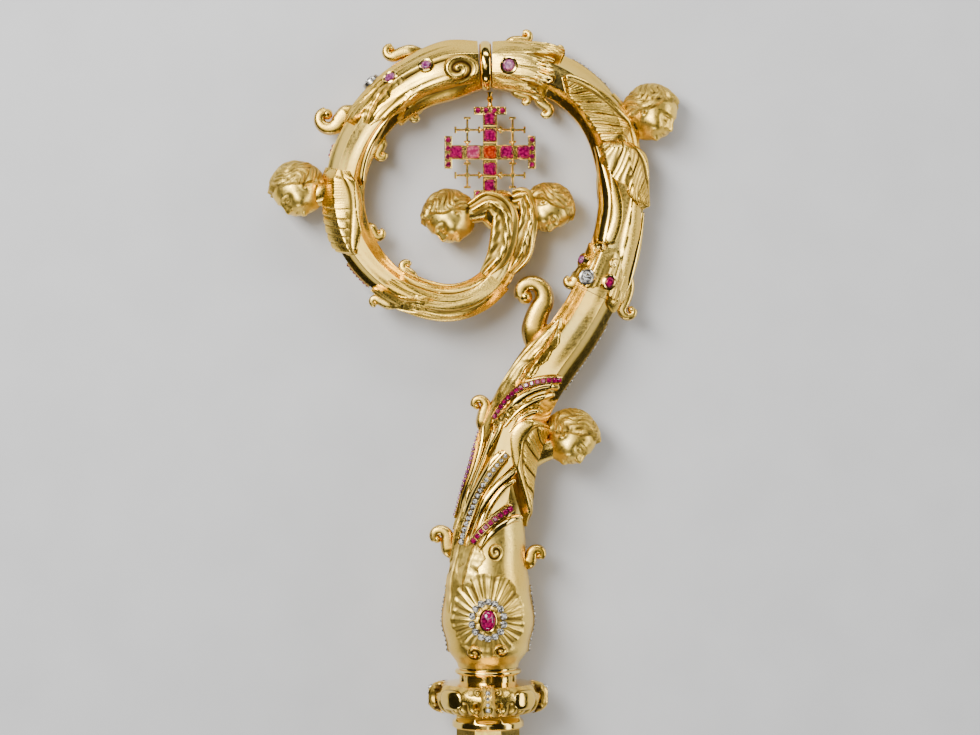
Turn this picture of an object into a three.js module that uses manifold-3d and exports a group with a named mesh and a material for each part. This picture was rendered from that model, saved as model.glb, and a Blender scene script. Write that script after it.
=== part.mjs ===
// A crosier head of gilded metal set with stones: a staff socket, a knop, a bulbous stem and a crook
// that coils round a jewelled cross, with winged cherub heads along it. It lies on its back.
//
// The head is drawn in its own plane, x to the right, y up along the staff and z towards the viewer,
// with the staff's axis at x = 0 and the mouth of the socket at y = 0. At the end the whole head is
// laid down on the ground plane z = 0.
import * as THREE from "three";
import { mergeVertices } from "three/addons/utils/BufferGeometryUtils.js";
import Module from "manifold-3d";

const wasm = await Module();
wasm.setup();

// Driving dimensions, in millimetres and degrees.
const GAP = 0.3; // clearance between two pieces that meet
const BED = 2; // how deep an ornament is rooted in what carries it

const SOCKET_LENGTH = 40; // tube that takes the staff
const SOCKET_RADIUS = 14.3;
const SOCKET_WALL = 1.8;
const SOCKET_LIP = 1.2; // how far the mouth's moulding stands out

const KNOP_RADIUS = 22.5; // cushion of the knop
const KNOP_HEIGHT = 13.5;
const KNOP_MOUNT = 3.6; // how far the four mounts stand out of the cushion
const NECK_RADIUS = 12.2; // between the knop and the bulb
const NECK_HEIGHT = 6;

const COURSE_WIDTH = 116.6; // width of the crook, measured on the tube's centre line
const BULB_RADIUS = 19.3;
const STEM_RADIUS = 12.4; // tube of the stem, above the bulb
const CROOK_RADIUS = 10.3; // tube of the crook's arch
const TIP_RADIUS = 5.2; // tube at the inner end of the coil
const UNIT = CROOK_RADIUS / 10.3; // ornaments are drawn for a crook of radius 10.3 and grow with it

const RING_RADIUS = 10.6; // ring at the top of the crook that the cross hangs from
const RING_WIDTH = 5;

const HEAD_RADIUS = 11.6; // cherub heads
const HEAD_TURN = 18; // and how far their faces look up out of the head's plane
const SCROLL_WIDTH = 6.5; // front to back, of a leaf tip that curls away

const CROSS_SPAN = 38.6; // cross, over its end bars
const CROSS_BAR = 6;
const CROSS_THICKNESS = 4;
const CROSS_END = 13.8; // length of an end bar
const CROSS_CAP = 3.3; // and its width
const CROSSLET_SPAN = 10;
const CROSSLET_PLACE = 9.6; // its middle, from the middle of the large cross both ways
const CROSSLET_BAR = 1.2;
const CROSS_STONE = 2.6; // half width of a stone of the cross

const STONE_RISE = 1.2; // height of a stone above its collet
const COLLET_RISE = 0.7; // and of the collet above what carries it
const COLLET_WALL = 0.7;
const STRIP_WIDTH = 2.8; // rows of small stones
const STRIP_HEIGHT = 1.6;

const FACES = 8; // faces round the tube of the crook

// Course of the tube's centre line: a straight start, then arcs, each with its radius as a share of
// COURSE_WIDTH and its turn in degrees, to the left where it is positive.
const STRAIGHT_SHARE = 0.286;
const ARCS = [
  [1.921, -10.8],
  [1.158, -27.5],
  [1.072, 24.6],
  [0.623, 33.2],
  [0.391, 60.1],
  [0.722, 19.7],
  [0.509, 58.7],
  [0.387, 52.7],
  [0.408, 48.9],
  [0.22, 91],
  [0.217, 35.2],
];

const rad = THREE.MathUtils.degToRad;
const { lerp, clamp, smoothstep } = THREE.MathUtils;
const FRONT = new THREE.Vector3(0, 0, 1);

// The course as a list of pieces, each knowing its start, heading and length.
const NECK_TOP = SOCKET_LENGTH + KNOP_HEIGHT + NECK_HEIGHT;
const course = (() => {
  const start = { at: 0, length: STRAIGHT_SHARE * COURSE_WIDTH, x: 0, y: NECK_TOP, heading: 90, bend: 0 };
  const pieces = [start];
  for (const [share, turn] of ARCS) {
    const last = pieces.at(-1);
    const end = along(last, last.length);
    const radius = share * COURSE_WIDTH;
    const length = radius * rad(Math.abs(turn));
    pieces.push({ ...end, at: last.at + last.length, length, bend: turn / length });
  }
  return pieces;
})();
const COURSE_LENGTH = course.at(-1).at + course.at(-1).length;

// Point and heading at a distance along one piece of the course.
function along(piece, d) {
  const turned = piece.bend * d;
  const middle = rad(piece.heading + turned / 2);
  const chord = piece.bend ? (2 * Math.sin(rad(turned) / 2)) / rad(piece.bend) : d;
  return {
    x: piece.x + chord * Math.cos(middle),
    y: piece.y + chord * Math.sin(middle),
    heading: piece.heading + turned,
  };
}

// Centre, direction of travel and outward side of the tube at a share of the course.
function station(share) {
  const s = share * COURSE_LENGTH;
  const piece = course.findLast((p) => p.at <= s) ?? course[0];
  const { x, y, heading } = along(piece, s - piece.at);
  const h = rad(heading);
  return {
    centre: new THREE.Vector3(x, y, 0),
    ahead: new THREE.Vector3(Math.cos(h), Math.sin(h), 0),
    outer: new THREE.Vector3(Math.sin(h), -Math.cos(h), 0),
  };
}

// Where the stem, the arch and the coil meet, as shares of the course.
const CALYX_AT = 0.328;
const RING_AT = 0.59;

// Half width of the tube along the course: [share of the course, half width].
const GIRTH = [
  [0, 0.66 * BULB_RADIUS],
  [0.016, 0.88 * BULB_RADIUS],
  [0.038, BULB_RADIUS],
  [0.066, 0.91 * BULB_RADIUS],
  [0.098, 0.79 * BULB_RADIUS],
  [0.13, 1.1 * STEM_RADIUS],
  [0.18, STEM_RADIUS],
  [0.25, 0.95 * STEM_RADIUS],
  [0.32, 1.04 * CROOK_RADIUS],
  [0.37, CROOK_RADIUS],
  [0.54, CROOK_RADIUS],
  [0.59, 0.9 * CROOK_RADIUS],
  [0.62, 1.1 * CROOK_RADIUS],
  [0.655, 0.97 * CROOK_RADIUS],
  [0.72, 0.9 * CROOK_RADIUS],
  [0.79, lerp(TIP_RADIUS, CROOK_RADIUS, 0.66)],
  [0.86, lerp(TIP_RADIUS, CROOK_RADIUS, 0.38)],
  [0.95, lerp(TIP_RADIUS, CROOK_RADIUS, 0.22)],
  [1, TIP_RADIUS],
];

// Half width of the tube at a share of the course.
function girth(share) {
  const i = clamp(GIRTH.findLastIndex(([at]) => at <= share), 0, GIRTH.length - 2);
  const [[a, ra], [b, rb]] = [GIRTH[i], GIRTH[i + 1]];
  return lerp(ra, rb, smoothstep(share, a, b));
}

// 1 where the section is round, as on the bulb, and 0 where it has flat faces.
const roundness = (share) => 1 - smoothstep(share, 0.1, 0.16);

// Point on the tube: angle 0 faces front and 90 away from the coil, lift is above the face.
function onTube(share, angle, lift = 0) {
  const { centre, outer } = station(share);
  const half = 180 / FACES;
  const local = (((angle + half) % (2 * half)) + 2 * half) % (2 * half) - half;
  const flat = Math.cos(rad(half)) / Math.cos(rad(local));
  const radius = girth(share) * lerp(flat, 1, roundness(share)) + lift;
  return centre
    .clone()
    .addScaledVector(outer, radius * Math.sin(rad(angle)))
    .addScaledVector(FRONT, radius * Math.cos(rad(angle)));
}

// Solids

const times = (n, f) => Array.from({ length: n }, (_, i) => f(i));

// Closed geometry from its points and triangles, turned so that its faces point out.
function shape(points, index) {
  let volume = 0;
  for (let i = 0; i < index.length; i += 3) {
    const [a, b, c] = [points[index[i]], points[index[i + 1]], points[index[i + 2]]];
    volume += a.dot(b.clone().cross(c));
  }
  const g = new THREE.BufferGeometry();
  g.setAttribute("position", new THREE.Float32BufferAttribute(points.flatMap((p) => p.toArray()), 3));
  g.setIndex(volume > 0 ? index : index.toReversed());
  return g;
}

// Closed body from rings of points: each ring is joined to the next, and the ends are capped unless
// the rings close on themselves.
function loft(rings, closed = false) {
  const n = rings[0].length;
  const index = [];
  const steps = closed ? rings.length : rings.length - 1;
  for (let i = 0; i < steps; i++) {
    const [a, b] = [i * n, ((i + 1) % rings.length) * n];
    for (let j = 0; j < n; j++) {
      const k = (j + 1) % n;
      index.push(a + j, b + j, b + k, a + j, b + k, a + k);
    }
  }
  if (!closed) {
    const last = (rings.length - 1) * n;
    for (let j = 1; j < n - 1; j++) index.push(0, j, j + 1, last, last + j + 1, last + j);
  }
  return shape(rings.flat(), index);
}

// Solid of a geometry, its shared corners merged.
function solid(body) {
  if (!body.isBufferGeometry) return body;
  const bare = new THREE.BufferGeometry().setAttribute("position", body.getAttribute("position"));
  const merged = mergeVertices(bare.setIndex(body.index), 1e-4);
  return new wasm.Manifold(
    new wasm.Mesh({
      numProp: 3,
      vertProperties: merged.getAttribute("position").array,
      triVerts: new Uint32Array(merged.index.array),
    }),
  );
}

const join = (...bodies) => bodies.flat(3).map(solid).reduce((a, b) => a.add(b));
const cut = (body, ...tools) => tools.flat(3).map(solid).reduce((a, b) => a.subtract(b), solid(body));

// Geometry of a body's largest piece, without the crumbs that a cut leaves.
function geometryOf(body) {
  const { vertProperties, triVerts } = body.getMesh();
  const owner = times(vertProperties.length / 3, (i) => i);
  const root = (i) => (owner[i] === i ? i : (owner[i] = root(owner[i])));
  for (let i = 0; i < triVerts.length; i += 3) {
    owner[root(triVerts[i + 1])] = root(triVerts[i]);
    owner[root(triVerts[i + 2])] = root(triVerts[i]);
  }
  const count = new Map();
  for (const i of triVerts) count.set(root(i), (count.get(root(i)) ?? 0) + 1);
  const [main] = [...count].reduce((a, b) => (b[1] > a[1] ? b : a));
  const g = new THREE.BufferGeometry();
  g.setAttribute("position", new THREE.BufferAttribute(vertProperties, 3));
  g.setIndex([...triVerts].filter((i) => root(i) === main));
  const kept = mergeVertices(g, 1e-5);
  kept.computeVertexNormals();
  return kept;
}

// Stretch of the tube between two shares, made larger all round by grow.
function tube(from, to, faces, grow = 0, step = 8) {
  const steps = Math.ceil(((to - from) * COURSE_LENGTH) / step);
  const extra = grow / COURSE_LENGTH;
  const rings = times(steps + 1, (i) => {
    const share = lerp(from - extra, to + extra, i / steps);
    return times(faces, (j) => onTube(clamp(share, 0, 1), ((j + 0.5) * 360) / faces, grow));
  });
  return loft(rings);
}

// Raised patch on the tube. place(t, v) gives [share, angle, lift] for t along, v across from -1 to 1.
function patch(nt, nv, place, grow = 0) {
  const top = (t, v) => {
    const [share, angle, lift] = place(t, v);
    return onTube(clamp(share, 0, 1), angle, lift + grow);
  };
  const bottom = (t, v) => {
    const [share, angle] = place(t, v);
    return onTube(clamp(share, 0, 1), angle, -BED);
  };
  const rings = times(nt + 1, (i) => {
    const t = i / nt;
    const across = times(nv + 1, (j) => top(t, (2 * j) / nv - 1));
    return across.concat(times(nv + 1, (j) => bottom(t, 1 - (2 * j) / nv)));
  });
  return loft(rings);
}

// Quadratic curve through a start, a pull and an end, each a pair.
function bezier([a, b, c], t) {
  const k = [(1 - t) * (1 - t), 2 * t * (1 - t), t * t];
  return a.map((_, i) => k[0] * a[i] + k[1] * b[i] + k[2] * c[i]);
}

// Point of a curve on the tube, and what a millimetre along it or across it adds to share and angle.
function courseOf(line, t) {
  const [share, angle] = bezier(line, t);
  const [share2, angle2] = bezier(line, t + 0.01);
  const r = girth(clamp(share, 0, 1));
  const [ds, da] = [(share2 - share) * COURSE_LENGTH, rad(angle2 - angle) * r];
  const length = Math.hypot(ds, da);
  return {
    share,
    angle,
    acrossShare: -da / length / COURSE_LENGTH,
    acrossAngle: THREE.MathUtils.radToDeg(ds / length / r),
  };
}

// Leaf or band along a curve of [share, angle] pairs, with its full width, its rise and its lobes.
function frond({ line, width, rise, lobes = 0, nt = 6, nv = 2 }, grow = 0) {
  const [from, to] = [line[0], line.at(-1)].map(([share, angle]) => onTube(share, angle));
  const longer = grow / from.distanceTo(to);
  const place = (t, v) => {
    const u = lerp(-longer, 1 + longer, t);
    const { share, angle, acrossShare, acrossAngle } = courseOf(line, u);
    const taper = Math.sqrt(Math.sin(Math.PI * (0.12 + 0.8 * t)));
    const lobed = 1 + (lobes ? 0.16 * Math.cos(2 * Math.PI * lobes * t) : 0);
    const half = ((UNIT * width) / 2) * taper * lobed + grow;
    const lift = UNIT * rise * (1 - 0.65 * v * v) * (0.6 + 0.4 * Math.sin(Math.PI * t));
    return [share + acrossShare * v * half, angle + acrossAngle * v * half, lift];
  };
  return patch(nt, nv, place, grow);
}

// Sheath of leaf all round the tube, from a share to an end that differs by angle.
function sleeve(from, end, rise, nt, na, grow = 0) {
  const extra = (Math.sign(end(0) - from) * grow) / COURSE_LENGTH;
  const rings = times(na, (j) => {
    const angle = (j * 360) / na;
    const shareAt = (t) => lerp(from, end(angle) + extra, t);
    const outside = times(nt + 1, (i) => onTube(shareAt(i / nt), angle, UNIT * rise(i / nt, angle) + grow));
    const inside = times(nt + 1, (i) => onTube(shareAt(1 - i / nt), angle, -BED));
    return outside.concat(inside);
  });
  return loft(rings, true);
}

// Leaf tip that grows along the tube from share at, lifts off it and curls away and back round an
// eye. The eye lies at a share of the course, on the outer side (1) or the inner side (-1), out from
// the tube's face.
function scroll({ at, eye, side, wide = SCROLL_WIDTH, ...sizes }, grow = 0) {
  const [out, radius, thick] = [sizes.out, sizes.radius, sizes.thick].map((size) => UNIT * size);
  const onward = Math.sign(eye - at);
  const [root, top] = [station(at), station(eye)];
  const away = top.outer.clone().multiplyScalar(side);
  const along = top.ahead.clone().multiplyScalar(onward);
  const centre = top.centre.clone().addScaledVector(away, girth(eye) + out);
  const start = root.centre.clone().addScaledVector(root.outer, side * (girth(at) - BED));
  const entry = centre.clone().addScaledVector(away, -radius);
  const pull = entry.clone().addScaledVector(along, -0.5 * start.distanceTo(entry));
  const rise = new THREE.QuadraticBezierCurve3(start, pull, entry);
  const curl = (t) => {
    const a = rad(290 * t);
    const r = radius * (1 - 0.6 * t);
    return centre.clone().addScaledVector(away, -r * Math.cos(a)).addScaledVector(along, r * Math.sin(a));
  };
  const line = [...times(2, (i) => rise.getPoint(i / 2)), ...times(5, (i) => curl(i / 4))];
  const rings = line.map((p, i) => {
    const t = i / (line.length - 1);
    const [before, after] = [line[Math.max(i - 1, 0)], line[Math.min(i + 1, line.length - 1)]];
    const across = after.clone().sub(before).cross(FRONT).normalize();
    const half = (thick / 2) * (0.65 + 1.2 * (1 - t) ** 2) + grow;
    const depth = ((UNIT * wide) / 2) * (t < 1 ? 1 - 0.35 * t : 0.5) + grow;
    const corners = [[1, 1], [-1, 1], [-1, -1], [1, -1]];
    return corners.map(([a, b]) =>
      p
        .clone()
        .addScaledVector(across, a * half)
        .addScaledVector(FRONT, b * depth),
    );
  });
  return loft(rings);
}

// Bodies turned about y or z from [radius, height] pairs.
const latheY = (profile, segments) =>
  new THREE.LatheGeometry(profile.map(([r, y]) => new THREE.Vector2(r, y)), segments);
const turned = (profile, segments) => latheY(profile, segments).rotateX(Math.PI / 2);

// Matrix that stands a piece on a point, its z along up and its y along side.
function standing(point, up, side) {
  const z = up.clone().normalize();
  const y = side.clone().addScaledVector(z, -side.dot(z)).normalize();
  const x = y.clone().cross(z);
  return new THREE.Matrix4().makeBasis(x, y, z).setPosition(point);
}

// Disc or frustum on its seat, between two heights, its top smaller by a share.
function disc([hx, hy], low, high, sides, top = 1) {
  const g = new THREE.CylinderGeometry(top, 1, high - low, sides).rotateX(Math.PI / 2);
  if (sides === 4) g.rotateZ(Math.PI / 4).scale(Math.SQRT2, Math.SQRT2, 1);
  return g.translate(0, 0, (low + high) / 2).scale(hx, hy, 1);
}

// Collet on the tube and the stone that it holds. lift is the height of the leaf that carries them.
function setting({ name, at, angle, half: drawn, finish, lift, sides = 8 }) {
  const half = drawn.map((h) => UNIT * h);
  const foot = onTube(at, angle, UNIT * lift);
  const { centre, ahead } = station(at);
  const up = foot.clone().sub(centre).projectOnPlane(ahead);
  const seat = standing(foot, up, ahead);
  const rim = half.map((h) => h + COLLET_WALL);
  return {
    name,
    finish,
    collet: disc(rim, -BED - UNIT * lift, COLLET_RISE, sides).applyMatrix4(seat),
    stone: disc(half, COLLET_RISE + GAP, COLLET_RISE + GAP + STONE_RISE, sides, 0.62).applyMatrix4(seat),
  };
}

// Row of small stones in a rail that follows the tube. It stands two gaps above what carries it, as
// its chords dip towards the rounded metal.
function strip({ line, lift }) {
  const low = UNIT * lift + 2 * GAP;
  const high = low + STRIP_HEIGHT;
  const rings = times(7, (i) => {
    const { share, angle, acrossShare, acrossAngle } = courseOf(line, i / 6);
    const edge = (v, h) => {
      const half = (v * STRIP_WIDTH) / 2;
      return onTube(share + acrossShare * half, angle + acrossAngle * half, h);
    };
    return [edge(-1, low), edge(1, low), edge(0.7, high), edge(-0.7, high)];
  });
  return loft(rings);
}

// Marks on a cherub's face: [forward, sideways, up, spread, height].
const FACE_MARKS = [
  [1, 0, -0.1, 0.13, 0.17], // nose
  [0.93, 0, -0.4, 0.13, 0.07], // lips
  [0.8, 0, -0.66, 0.18, 0.12], // chin
  [0.9, 0.27, 0.06, 0.14, -0.08], // eye hollows
  [0.9, -0.27, 0.06, 0.14, -0.08],
  [0.78, 0.45, -0.36, 0.27, 0.08], // cheeks
  [0.78, -0.45, -0.36, 0.27, 0.08],
  [0.85, 0, 0.4, 0.3, 0.03], // forehead
];

// Reach of a head of radius 1 in a direction, its face along x and its crown along z.
function headRadius(d) {
  const base = 1 / Math.hypot(d.x / 0.95, d.y / 0.84, d.z / (d.z > 0 ? 1.03 : 1.01));
  let r = base;
  for (const [x, y, z, spread, height] of FACE_MARKS) {
    const c = new THREE.Vector3(x, y, z).normalize();
    r += height * Math.exp(-Math.pow(d.angleTo(c) / spread, 2) / 1.4);
  }
  const hair = smoothstep(0.42 * d.z - 0.95 * d.x + 0.35 - 0.5 * d.y * d.y * d.x, -0.05, 0.2);
  const locks = Math.sin(9 * Math.atan2(d.y, d.z) + 5 * d.x) * 0.5 + Math.sin(11 * d.x + 4 * d.z) * 0.5;
  return r + hair * (0.09 + 0.05 * locks);
}

// Cherub's head of radius 1: a skull with full cheeks, a short nose, lips, a chin, eye hollows and a
// cap of locks. The rings of the mesh lie round the nose.
function headShape(sectors = 12) {
  const polar = [10, 21, 33, 48, 67, 90, 116, 145];
  const rings = polar.map((angle) =>
    times(sectors, (j) => {
      const a = (j * 2 * Math.PI) / sectors;
      const d = new THREE.Vector3(
        Math.cos(rad(angle)),
        Math.sin(rad(angle)) * Math.cos(a),
        Math.sin(rad(angle)) * Math.sin(a),
      );
      return d.multiplyScalar(headRadius(d));
    }),
  );
  const tip = (x) => {
    const d = new THREE.Vector3(x, 0, 0);
    return times(sectors, (j) => {
      const a = (j * 2 * Math.PI) / sectors;
      const near = new THREE.Vector3(x, 0.03 * Math.cos(a), 0.03 * Math.sin(a));
      return near.multiplyScalar(headRadius(d));
    });
  };
  return loft([tip(1), ...rings, tip(-1)]);
}

// Head at a point in the plane, its crown and its face at these angles in the plane, its face turned
// a little to the front.
function cherubHead({ head, crown, look, size = 1 }) {
  const up = new THREE.Vector3(Math.cos(rad(crown)), Math.sin(rad(crown)), 0);
  const turn = rad(HEAD_TURN);
  const face = new THREE.Vector3(Math.cos(rad(look)), Math.sin(rad(look)), Math.tan(turn)).normalize();
  const basis = new THREE.Matrix4().makeBasis(face, up.clone().cross(face), up);
  basis.setPosition(head).scale(new THREE.Vector3(1, 1, 1).multiplyScalar(HEAD_RADIUS * size));
  return headShape().applyMatrix4(basis);
}

// Round limb between two points, such as a neck.
function limb(from, to, r0, r1, sides = 8) {
  const axis = to.clone().sub(from);
  const g = new THREE.CylinderGeometry(r1, r0, axis.length(), sides).rotateX(Math.PI / 2);
  g.translate(0, 0, axis.length() / 2);
  return g.applyMatrix4(standing(from, axis, new THREE.Vector3(0.01, 0.02, 1)));
}

// Wing that lies on the tube, front or back. line is its middle as [share, angle] pairs, root first.
function wing({ line, width, rise, feathers }, back) {
  return patch(feathers * 2, 2, (t, v) => {
    const [share, angle] = bezier(line, t);
    const half = ((UNIT * width) / 2) * (0.55 + 0.45 * Math.sin(Math.PI * Math.min(1, t * 1.1 + 0.1)));
    const swept = 0.8 * v * v * half * Math.sign(line[2][0] - line[0][0]);
    const quill = Math.round(t * feathers * 2) % 2 ? 0.55 : -0.25;
    const lift = UNIT * (rise * (1 - 0.55 * v * v) + quill * (1 - t * 0.4));
    const round = angle + THREE.MathUtils.radToDeg((v * half) / girth(share));
    return [share + swept / COURSE_LENGTH, back ? 180 - round : round, lift];
  });
}

// Cherub on the outer side of the tube, its two wings joined by a saddle under the neck.
function cherub({ at, spread, head, crown, look, wings, size = 1 }) {
  const seat = onTube(at, 90, -BED);
  const saddle = patch(3, 6, (t, v) => {
    const lift = UNIT * 2.2 * (1 - 0.5 * v * v) * Math.sin(Math.PI * (0.15 + 0.7 * t));
    return [at + (UNIT * spread * (t - 0.5)) / COURSE_LENGTH, 90 + 62 * v, lift];
  });
  const wingPairs = wings.flatMap((w) => [wing(w, false), wing(w, true)]);
  const nape = head.clone().addScaledVector(
    new THREE.Vector3(Math.cos(rad(crown)), Math.sin(rad(crown)), 0),
    -0.45 * HEAD_RADIUS * size,
  );
  return join(
    cherubHead({ head, crown, look, size }),
    limb(seat, nape, 0.62 * HEAD_RADIUS * size, 0.45 * HEAD_RADIUS * size),
    saddle,
    wingPairs,
  );
}

// Point in the plane of the head, at a drawn distance outward from the course.
function beside(share, out) {
  const { centre, outer } = station(share);
  return centre.clone().addScaledVector(outer, UNIT * out);
}

// Staff socket: eight flat faces outside and a round bore, with a moulded mouth, open below.
function staffSocket() {
  const bore = SOCKET_RADIUS - SOCKET_WALL;
  const top = SOCKET_LENGTH - GAP;
  const outside = [
    [SOCKET_LIP, 0],
    [SOCKET_LIP, 2.5],
    [0, 4.5],
    [0, top - 6],
    [0.9, top - 5],
    [0.9, top - 3],
    [-0.2, top],
  ];
  const sides = 2 * FACES;
  const rings = times(sides, (j) => {
    const a = (j * 2 * Math.PI) / sides;
    const flat = j % 2 ? 1 : Math.cos(Math.PI / FACES);
    const at = (r, y) => new THREE.Vector3(r * Math.sin(a), y, r * Math.cos(a));
    return [at(bore, 0), ...outside.map(([r, y]) => at((SOCKET_RADIUS + r) * flat, y)), at(bore, top)];
  });
  return loft(rings, true);
}

// Knop: a cushion with four mounts round it, and the neck mouldings above.
function knop() {
  const base = SOCKET_LENGTH;
  const half = KNOP_HEIGHT / 2;
  const waist = SOCKET_RADIUS - 1;
  const cushion = times(5, (i) => {
    const a = rad(lerp(-75, 60, i / 4));
    return [lerp(waist, KNOP_RADIUS, Math.cos(a) ** 0.6), base + half * (1 + Math.sin(a))];
  });
  const neckFoot = base + KNOP_HEIGHT;
  const profile = [
    [0, base],
    [waist, base],
    ...cushion,
    [NECK_RADIUS, neckFoot],
    [NECK_RADIUS, neckFoot + 0.3 * NECK_HEIGHT],
    [NECK_RADIUS + 1.9, neckFoot + 0.55 * NECK_HEIGHT],
    [NECK_RADIUS + 1.9, neckFoot + 0.8 * NECK_HEIGHT],
    [NECK_RADIUS + 0.2, NECK_TOP - GAP],
    [0, NECK_TOP - GAP],
  ];
  const body = latheY(profile, 16);
  const mounts = times(4, (i) => {
    const turn = new THREE.Matrix4().makeRotationY((i * Math.PI) / 2);
    const rings = times(7, (j) => {
      const a = rad(lerp(-70, 112, j / 6));
      const reach = lerp(waist, KNOP_RADIUS, Math.max(0, Math.cos(a)) ** 0.6);
      const bulge = reach + KNOP_MOUNT * Math.cos(rad(lerp(-80, 60, j / 6)));
      const outside = j === 5 ? reach + 2.2 * KNOP_MOUNT : bulge;
      const y = Math.max(base, base + half * (1 + 1.12 * Math.sin(a)));
      const w = lerp(3.4, 1.6, j / 6);
      return [
        new THREE.Vector3(-w, y, waist - 2),
        new THREE.Vector3(w, y, waist - 2),
        new THREE.Vector3(w * 0.6, y, Math.min(outside, KNOP_RADIUS + KNOP_MOUNT)),
        new THREE.Vector3(-w * 0.6, y, Math.min(outside, KNOP_RADIUS + KNOP_MOUNT)),
      ].map((p) => p.applyMatrix4(turn));
    });
    return loft(rings);
  });
  return join(body, mounts);
}

// Fronds of the stem as [share, angle] lines. Those on the front carry rows of stones.
const UPPER_BAND = { line: [[0.2, -48], [0.235, -40], [0.254, 36]], width: 4.6, rise: 2.2 };
const MIDDLE_BAND = { line: [[0.1, -44], [0.14, -40], [0.178, 2]], width: 5, rise: 2.4 };
const LOWER_BAND = { line: [[0.102, -26], [0.12, -10], [0.135, 30]], width: 4.6, rise: 2.2 };
const INNER_LEAF = { line: [[0.11, -78], [0.2, -92], [0.285, -80]], width: 15, rise: 2, lobes: 3 };
const LEAF_LOBES = [
  { line: [[0.19, -62], [0.22, -30], [0.229, 12]], width: 7, rise: 1.8, lobes: 2 },
  { line: [[0.25, -85], [0.268, -48], [0.275, -30]], width: 8, rise: 1.8, lobes: 2 },
  { line: [[0.085, -70], [0.11, -60], [0.145, -58]], width: 9, rise: 1.6, lobes: 2 },
];

const STEM_SCROLLS = [
  { at: 0.258, eye: 0.2985, side: -1, out: 13.4, radius: 7, thick: 6.4, wide: 11 },
  { at: 0.182, eye: 0.205, side: -1, out: 6, radius: 3.4, thick: 3.4 },
  { at: 0.085, eye: 0.103, side: -1, out: 6.6, radius: 3.8, thick: 4 },
  { at: 0.08, eye: 0.095, side: 1, out: 5.4, radius: 2.9, thick: 3.6 },
];

// Shell behind the bulb's stone: petals that fan out from the stone.
const BULB_STONE_AT = 0.0415;
function shell(grow = 0) {
  const [inner, outerR, petals] = [0.21 * BULB_RADIUS, 0.86 * BULB_RADIUS, 8];
  const rings = times(2 * petals, (j) => {
    const a = (j * Math.PI) / petals + Math.PI / 2;
    const valley = j % 2;
    const point = (t, lift) => {
      const reach = lerp(inner, outerR * (valley ? 0.86 : 1), t);
      const share = BULB_STONE_AT + (reach * Math.cos(a)) / COURSE_LENGTH;
      const angle = THREE.MathUtils.radToDeg((reach * Math.sin(a)) / BULB_RADIUS);
      return onTube(Math.max(share, 0.002), angle, lift);
    };
    const ridge = UNIT * (valley ? 0.5 : 1.5);
    return [
      point(0, UNIT + grow),
      point(0.5, ridge + 0.3 * UNIT + grow),
      point(1, ridge * 0.7 + grow),
      point(1, -BED),
      point(0, -BED),
    ];
  });
  return loft(rings, true);
}

// Bulb and stem with their leaves, made larger all round by grow.
function stemBody(grow = 0) {
  const bands = [UPPER_BAND, MIDDLE_BAND, LOWER_BAND, INNER_LEAF, ...LEAF_LOBES];
  return join(
    tube(0, 0.155, 2 * FACES, grow),
    tube(0.15, CALYX_AT - GAP / COURSE_LENGTH, FACES, grow),
    bands.map((band) => frond(band, grow)),
    shell(grow),
    STEM_SCROLLS.map((tip) => scroll(tip, grow)),
  );
}

// Wave with n crests round the tube, from 0 to its depth.
const wave = (angle, n, depth, phase = 0) => depth * (0.5 + 0.5 * Math.cos(rad(n * angle + phase)));

// Arch of the crook, from the calyx to the ring.
function archBody(grow = 0) {
  const halfRing = (RING_WIDTH / 2 + GAP) / COURSE_LENGTH;
  const calyx = sleeve(
    CALYX_AT + 0.05,
    (angle) => CALYX_AT + 0.001 - wave(angle, 5, 0.014),
    (t, angle) => 0.4 + 2.2 * t * (1.2 - 0.2 * t) + wave(angle, 5, 0.5),
    3,
    15,
    grow,
  );
  const collar = sleeve(
    RING_AT - halfRing,
    (angle) => RING_AT - 0.034 - wave(angle, 6, 0.02),
    (t, angle) => 0.9 + 0.6 * Math.sin(Math.PI * t) + wave(angle, 6, 0.5),
    3,
    18,
    grow,
  );
  const tips = [
    { at: 0.58, eye: 0.561, side: 1, out: 4, radius: 2.4, thick: 2.8 },
    { at: 0.555, eye: 0.537, side: 1, out: 1.4, radius: 1.6, thick: 2.2, wide: 5 },
    { at: 0.572, eye: 0.552, side: -1, out: 3.2, radius: 1.8, thick: 2.6, wide: 5 },
    { at: 0.545, eye: 0.524, side: -1, out: 4.6, radius: 2.2, thick: 3, wide: 5 },
    { at: 0.362, eye: 0.3285, side: 1, out: 5.4, radius: 3.4, thick: 3.2 },
    { at: 0.345, eye: 0.33, side: -1, out: 1.4, radius: 2, thick: 3.6 },
  ];
  return join(
    tube(CALYX_AT, RING_AT - halfRing, FACES, grow),
    calyx,
    collar,
    tips.map((tip) => scroll(tip, grow)),
  );
}

// Inner end of the coil, with a leaf that wraps it.
function coilEnd(grow = 0) {
  const leaf = sleeve(
    0.945,
    (angle) => 0.865 - wave(angle, 1, 0.016, -90) - wave(angle, 5, 0.01),
    (t, angle) => 0.7 + 0.8 * Math.sin(Math.PI * t) + wave(angle, 5, 0.4),
    3,
    15,
    grow,
  );
  return join(tube(0.895, 1, FACES, grow), leaf);
}

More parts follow.
